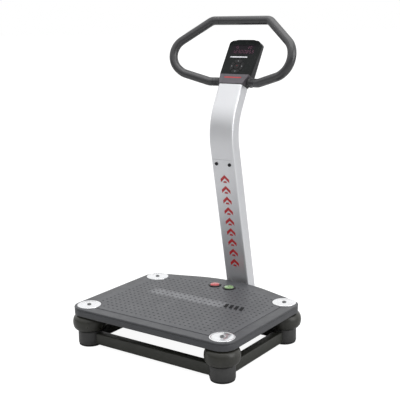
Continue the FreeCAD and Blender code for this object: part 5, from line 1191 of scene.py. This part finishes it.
def gripTree():
    # a foam sleeve along a path with rounded corners and soft ends
    tree = newTree("foam_sleeve", (("Radius", "Float", 0.018), ("Spacing", "Float", 0.0022),
                                   ("Sides", "Int", 40), ("Round", "Float", 0.004),
                                   ("End Share", "Float", 0.8), ("Waver", "Float", 0.0002),
                                   ("Material", "Material", None)))
    entry = addNode(tree, "NodeGroupInput")

    def calc(operation, first, second=0.0):
        return mathNode(tree, operation, first, second)

    bend = addNode(tree, "GeometryNodeInputNamedAttribute", {"Name": "bend"}, data_type="FLOAT")
    path = addNode(tree, "GeometryNodeMeshToCurve", {"Mesh": entry.outputs["Geometry"]})
    rounded = addNode(tree, "GeometryNodeFilletCurve", {"Curve": path.outputs["Curve"],
                                                        "Radius": attributeOf(bend)})
    rounded.mode = "POLY"
    rounded.inputs["Count"].default_value = bar["bendSteps"]
    spaced = addNode(tree, "GeometryNodeResampleCurve", {"Curve": rounded.outputs["Curve"]})
    spaced.mode = "LENGTH"
    tree.links.new(entry.outputs["Spacing"], spaced.inputs["Length"])
    along = addNode(tree, "GeometryNodeSplineParameter").outputs["Length"]
    whole = addNode(tree, "GeometryNodeSplineLength").outputs["Length"]
    nearest = calc("MINIMUM", along, calc("SUBTRACT", whole, along))
    share = calc("MINIMUM", calc("DIVIDE", nearest, entry.outputs["Round"]), 1.0)
    back = calc("SUBTRACT", 1.0, share)
    swell = calc("SQRT", calc("MAXIMUM", calc("SUBTRACT", 1.0, calc("MULTIPLY", back, back)), 0.0))
    spare = calc("SUBTRACT", 1.0, entry.outputs["End Share"])
    factor = calc("ADD", entry.outputs["End Share"], calc("MULTIPLY", swell, spare))
    ring = addNode(tree, "GeometryNodeCurvePrimitiveCircle", {"Resolution": entry.outputs["Sides"],
                                                              "Radius": entry.outputs["Radius"]})
    swept = addNode(tree, "GeometryNodeCurveToMesh", {"Curve": spaced.outputs["Curve"],
                                                      "Profile Curve": ring.outputs["Curve"],
                                                      "Fill Caps": True})
    tree.links.new(factor, swept.inputs["Scale"])
    cloud = addNode(tree, "ShaderNodeTexNoise", {"Scale": bar["waverScale"], "Detail": 3.0})
    wave = calc("MULTIPLY", calc("SUBTRACT", cloud.outputs["Fac"], 0.5), entry.outputs["Waver"])
    outward = addNode(tree, "GeometryNodeInputNormal").outputs[0]
    push = addNode(tree, "ShaderNodeVectorMath", {0: outward}, operation="SCALE")
    tree.links.new(wave, push.inputs["Scale"])
    moved = addNode(tree, "GeometryNodeSetPosition", {"Geometry": swept.outputs["Mesh"],
                                                      "Offset": push.outputs[0]})
    return ended(tree, entry, moved.outputs[0])


def gripPath(name, points):
    mesh = bpy.data.meshes.new(name)
    mesh.from_pydata([point for point, bend in points],
                     [(step, step + 1) for step in range(len(points) - 1)], [])
    bend = mesh.attributes.new("bend", "FLOAT", "POINT")
    for index, (point, radius) in enumerate(points):
        bend.data[index].value = radius
    return meshObject(name, mesh)


def makeHandlebar():
    tree = gripTree()
    values = {"Radius": bar["radius"], "Spacing": bar["spacing"], "Sides": bar["sides"],
              "Round": bar["round"], "End Share": bar["endShare"], "Waver": bar["waver"],
              "Material": finishes["foam"]}
    runs = {}
    for hand, side in (("right", 1), ("left", -1)):
        points = [(collarPoint(side, bar["collarEnd"] + bar["gripGap"]), 0.0)]
        points += [barPoint(name, side) for name in ("elbow", "low", "side", "top")]
        end = neckTurn @ Vector((side * (bar["topHalf"] + bar["gripGap"]), bar["top"][1], bar["top"][2]))
        runs[hand + "_grip"] = points + [(end, 0.0)]
    ends = [neckTurn @ Vector((side * bar["topHalf"], bar["top"][1], bar["top"][2])) for side in (-1, 1)]
    runs["top_grip"] = [(ends[0], 0.0), (ends[1], 0.0)]
    for node, points in runs.items():
        grip = grown(node + "_foam", gripPath(node + "_path", points), tree, values, "foam")
        smooth(grip.data, 60)
        settle(grip, "stand", [node])
    # collars beside the neck
    build = bmesh.new()
    radius, lip = bar["radius"], bar["lip"]
    length = (collarPoint(1, bar["collarEnd"]) - collarPoint(1, bar["collarStart"])).length
    profile = [(bar["tube"] + 0.0002, 0.0), (lip - 0.0008, 0.0), (lip, 0.0008), (lip, 0.0036),
               (lip - 0.0012, 0.0050), (radius + 0.0006, 0.0056), (radius, 0.0066), (radius, length * 0.5),
               (radius - 0.0006, length * 0.5 + 0.0006), (radius, length * 0.5 + 0.0012),
               (radius, length - 0.0012), (radius - 0.0012, length), (bar["tube"] + 0.0002, length)]
    for side in (1, -1):
        start, end = collarPoint(side, bar["collarStart"]), collarPoint(side, bar["collarEnd"])
        turn = (end - start).to_track_quat("Z", "Y").to_matrix().to_4x4()
        lathe(build, profile, start, turn, 64)
    collars = fromBuild("handlebar_collars_moulded", build, "collar", 40)
    settle(collars, "stand", ["handlebar_collars"])


makeHandlebar()
print("handlebar made")

# nodes that keep their own mesh

keptFinishes = {
    "castMetal": ("right_motor_case", "left_motor_case", "motor_covers"),
    "castIron": ("right_weights", "left_weights"),
    "steel": ("column_sleeve", "right_rotor", "left_rotor", "handlebar_tube", "motor_bearings",
              "motor_bolts"),
    "board": ("drive_board", "console_board"),
    "socket": ("button_switches",),
}
for material, nodes in keptFinishes.items():
    for node in nodes:
        mesh = cad[node].data
        mesh.materials.clear()
        mesh.materials.append(finishes[material])

# the rear: carrier, flange, inlet and switch


def makeRear():
    carrier = nodeCopy("column_carrier_welded", ["column_carrier"], "powderCoat", bevel=0.0012)
    settle(carrier, "stand", ["column_carrier"])
    under = nodeCopy("deck_frame_plate", ["deck_frame"], "powderCoat", bevel=0.0006)
    settle(under, "deck", ["deck_frame"])
    low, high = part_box("carrier_feet")
    radius, tall = (high.y - low.y) / 2, high.z
    profile = [(0, 0), (radius - 0.002, 0)] + arc(radius - 0.002, 0.002, 0.002, -90, 0, 4)
    profile += [(radius, tall - 0.004), (radius - 0.002, tall - 0.002), (radius - 0.002, tall), (0, tall)]
    middle = (low.y + high.y) / 2
    side = high.x - radius
    feet = turned("carrier_feet_moulded", profile, [(side, middle, 0), (-side, middle, 0)], "footRubber")
    settle(feet, "stand", ["carrier_feet"])
    nuts = nodeCopy("flange_bolts_set", ["flange_bolts"], "steel", bevel=0.0006)
    settle(nuts, "stand", ["flange_bolts"])
    for node in ("power_inlet", "switch_frame"):
        piece = nodeCopy(node + "_moulded", [node], "socket", bevel=0.0004)
        settle(piece, "stand", [node])
    rocker = nodeCopy("power_rocker_cap", ["power_rocker"], "redCap", bevel=0.0004)
    settle(rocker, "power_rocker", ["power_rocker"])
    spots = []
    for side in (1, -1):
        for rise in console["screwRises"]:
            spot = neckTurn @ Vector((side * console["screwX"], console["screwDepth"], rise))
            spots.append((spot, neckTurn.to_3x3() @ Vector((0, 1, 0))))
    screws = bolts("console_screw_heads", spots, *console["screw"], "darkBolt")
    settle(screws, "stand", ["console_screws"])


makeRear()
print("rear made")

# floor, light and camera

# each light: where it stands, what it faces, width, height, power and whether gloss shows it
studio = {"floor": (0.50, 0.50, 0.50, 1), "seen": 0.93, "seenBase": (0.22, 0.22, 0.22, 1),
          "sky": 1.0, "front": 0.25, "lowRise": (0.12, 0.45), "behind": (-0.45, 0.05),
          "lights": {"top_box": ((0.3, 0.2, 3.4), (0, 0.1, 0.4), 3.2, 3.0, 40, True),
                     "right_box": ((3.4, 0.3, 1.7), (0, 0.1, 0.6), 2.2, 2.6, 34, True),
                     "strip_box": ((-1.7, -0.9, 2.6), (0, -0.1, 0.4), 0.6, 1.5, 24, False)}}


def makeFloor():
    mesh = bpy.data.meshes.new("floor")
    mesh.from_pydata([(-40, -40, 0), (40, -40, 0), (40, 60, 0), (-40, 60, 0)], [], [(0, 1, 2, 3)])
    floor = meshObject("floor", mesh)
    material = bpy.data.materials.new("pale_floor")
    material.use_nodes = True
    nodes, links = material.node_tree.nodes, material.node_tree.links
    shader = nodes["Principled BSDF"]
    shader.inputs["Base Color"].default_value = studio["seenBase"]
    shader.inputs["Roughness"].default_value = 0.9
    shader.inputs["Specular IOR Level"].default_value = 0.0
    shader.inputs["Emission Color"].default_value = (1, 1, 1, 1)
    shader.inputs["Emission Strength"].default_value = studio["seen"]
    paper = nodes.new("ShaderNodeBsdfDiffuse")
    paper.inputs["Color"].default_value = studio["floor"]
    path = nodes.new("ShaderNodeLightPath")
    mix = nodes.new("ShaderNodeMixShader")
    links.new(path.outputs["Is Camera Ray"], mix.inputs["Fac"])
    links.new(paper.outputs[0], mix.inputs[1])
    links.new(shader.outputs[0], mix.inputs[2])
    links.new(mix.outputs[0], nodes["Material Output"].inputs["Surface"])
    mesh.materials.append(material)


def makeSky():
    world = bpy.data.worlds.new("studio")
    scene.world = world
    world.use_nodes = True
    nodes, links = world.node_tree.nodes, world.node_tree.links
    fill = nodes["Background"]
    fill.inputs["Color"].default_value = (1, 1, 1, 1)
    direction = nodes.new("ShaderNodeSeparateXYZ")
    links.new(nodes.new("ShaderNodeTexCoord").outputs["Generated"], direction.inputs["Vector"])

    def rising(socket, start, end):
        node = nodes.new("ShaderNodeMapRange")
        node.interpolation_type = "SMOOTHSTEP"
        node.inputs["From Min"].default_value = start
        node.inputs["From Max"].default_value = end
        links.new(direction.outputs[socket], node.inputs["Value"])
        return node.outputs["Result"]

    most = nodes.new("ShaderNodeMath")  # only low down in front is the studio dim
    most.operation = "MAXIMUM"
    links.new(rising("Z", *studio["lowRise"]), most.inputs[0])
    links.new(rising("Y", *studio["behind"]), most.inputs[1])
    level = nodes.new("ShaderNodeMapRange")
    level.inputs["To Min"].default_value = studio["front"]
    level.inputs["To Max"].default_value = studio["sky"]
    links.new(most.outputs[0], level.inputs["Value"])
    path = nodes.new("ShaderNodeLightPath")
    seen = nodes.new("ShaderNodeMix")
    links.new(path.outputs["Is Camera Ray"], seen.inputs[0])
    links.new(level.outputs["Result"], seen.inputs[2])
    seen.inputs[3].default_value = 1.0
    links.new(seen.outputs[0], fill.inputs["Strength"])


def softbox(name, spot, aim, width, height, power, mirrored):
    light = bpy.data.lights.new(name, "AREA")
    light.shape = "RECTANGLE"
    light.size = width
    light.size_y = height
    light.energy = power
    lamp = bpy.data.objects.new(name, light)
    scene.collection.objects.link(lamp)
    lamp.location = spot
    lamp.rotation_euler = (Vector(aim) - Vector(spot)).to_track_quat("-Z", "Y").to_euler()
    lamp.visible_glossy = mirrored


def makeCamera():
    # azimuth, elevation and roll in degrees
    view = {"azimuth": 35.728, "elevation": 12.472, "roll": -1.068, "spot": (1.9426, -2.5955, 1.2992),
            "lens": 77.067, "sensor": 36.0}
    a, e, r = (math.radians(view[key]) for key in ("azimuth", "elevation", "roll"))
    back = Vector((math.sin(a) * math.cos(e), -math.cos(a) * math.cos(e), math.sin(e)))
    right = Vector((math.cos(a), math.sin(a), 0))
    up = back.cross(right)
    rightTurned = right * math.cos(r) + up * math.sin(r)
    upTurned = up * math.cos(r) - right * math.sin(r)
    data = bpy.data.cameras.new("camera")
    data.lens = view["lens"]
    data.sensor_width = view["sensor"]
    data.clip_end = 50
    camera = bpy.data.objects.new("camera", data)
    scene.collection.objects.link(camera)
    turn = Matrix((rightTurned, upTurned, back)).transposed().to_4x4()
    camera.matrix_world = Matrix.Translation(view["spot"]) @ turn
    scene.camera = camera


makeFloor()
makeSky()
for label, settings in studio["lights"].items():
    softbox(label, *settings)
makeCamera()
scene.view_settings.view_transform = "Standard"
print("studio made")


def corner(point):
    return [float(part) for part in point]
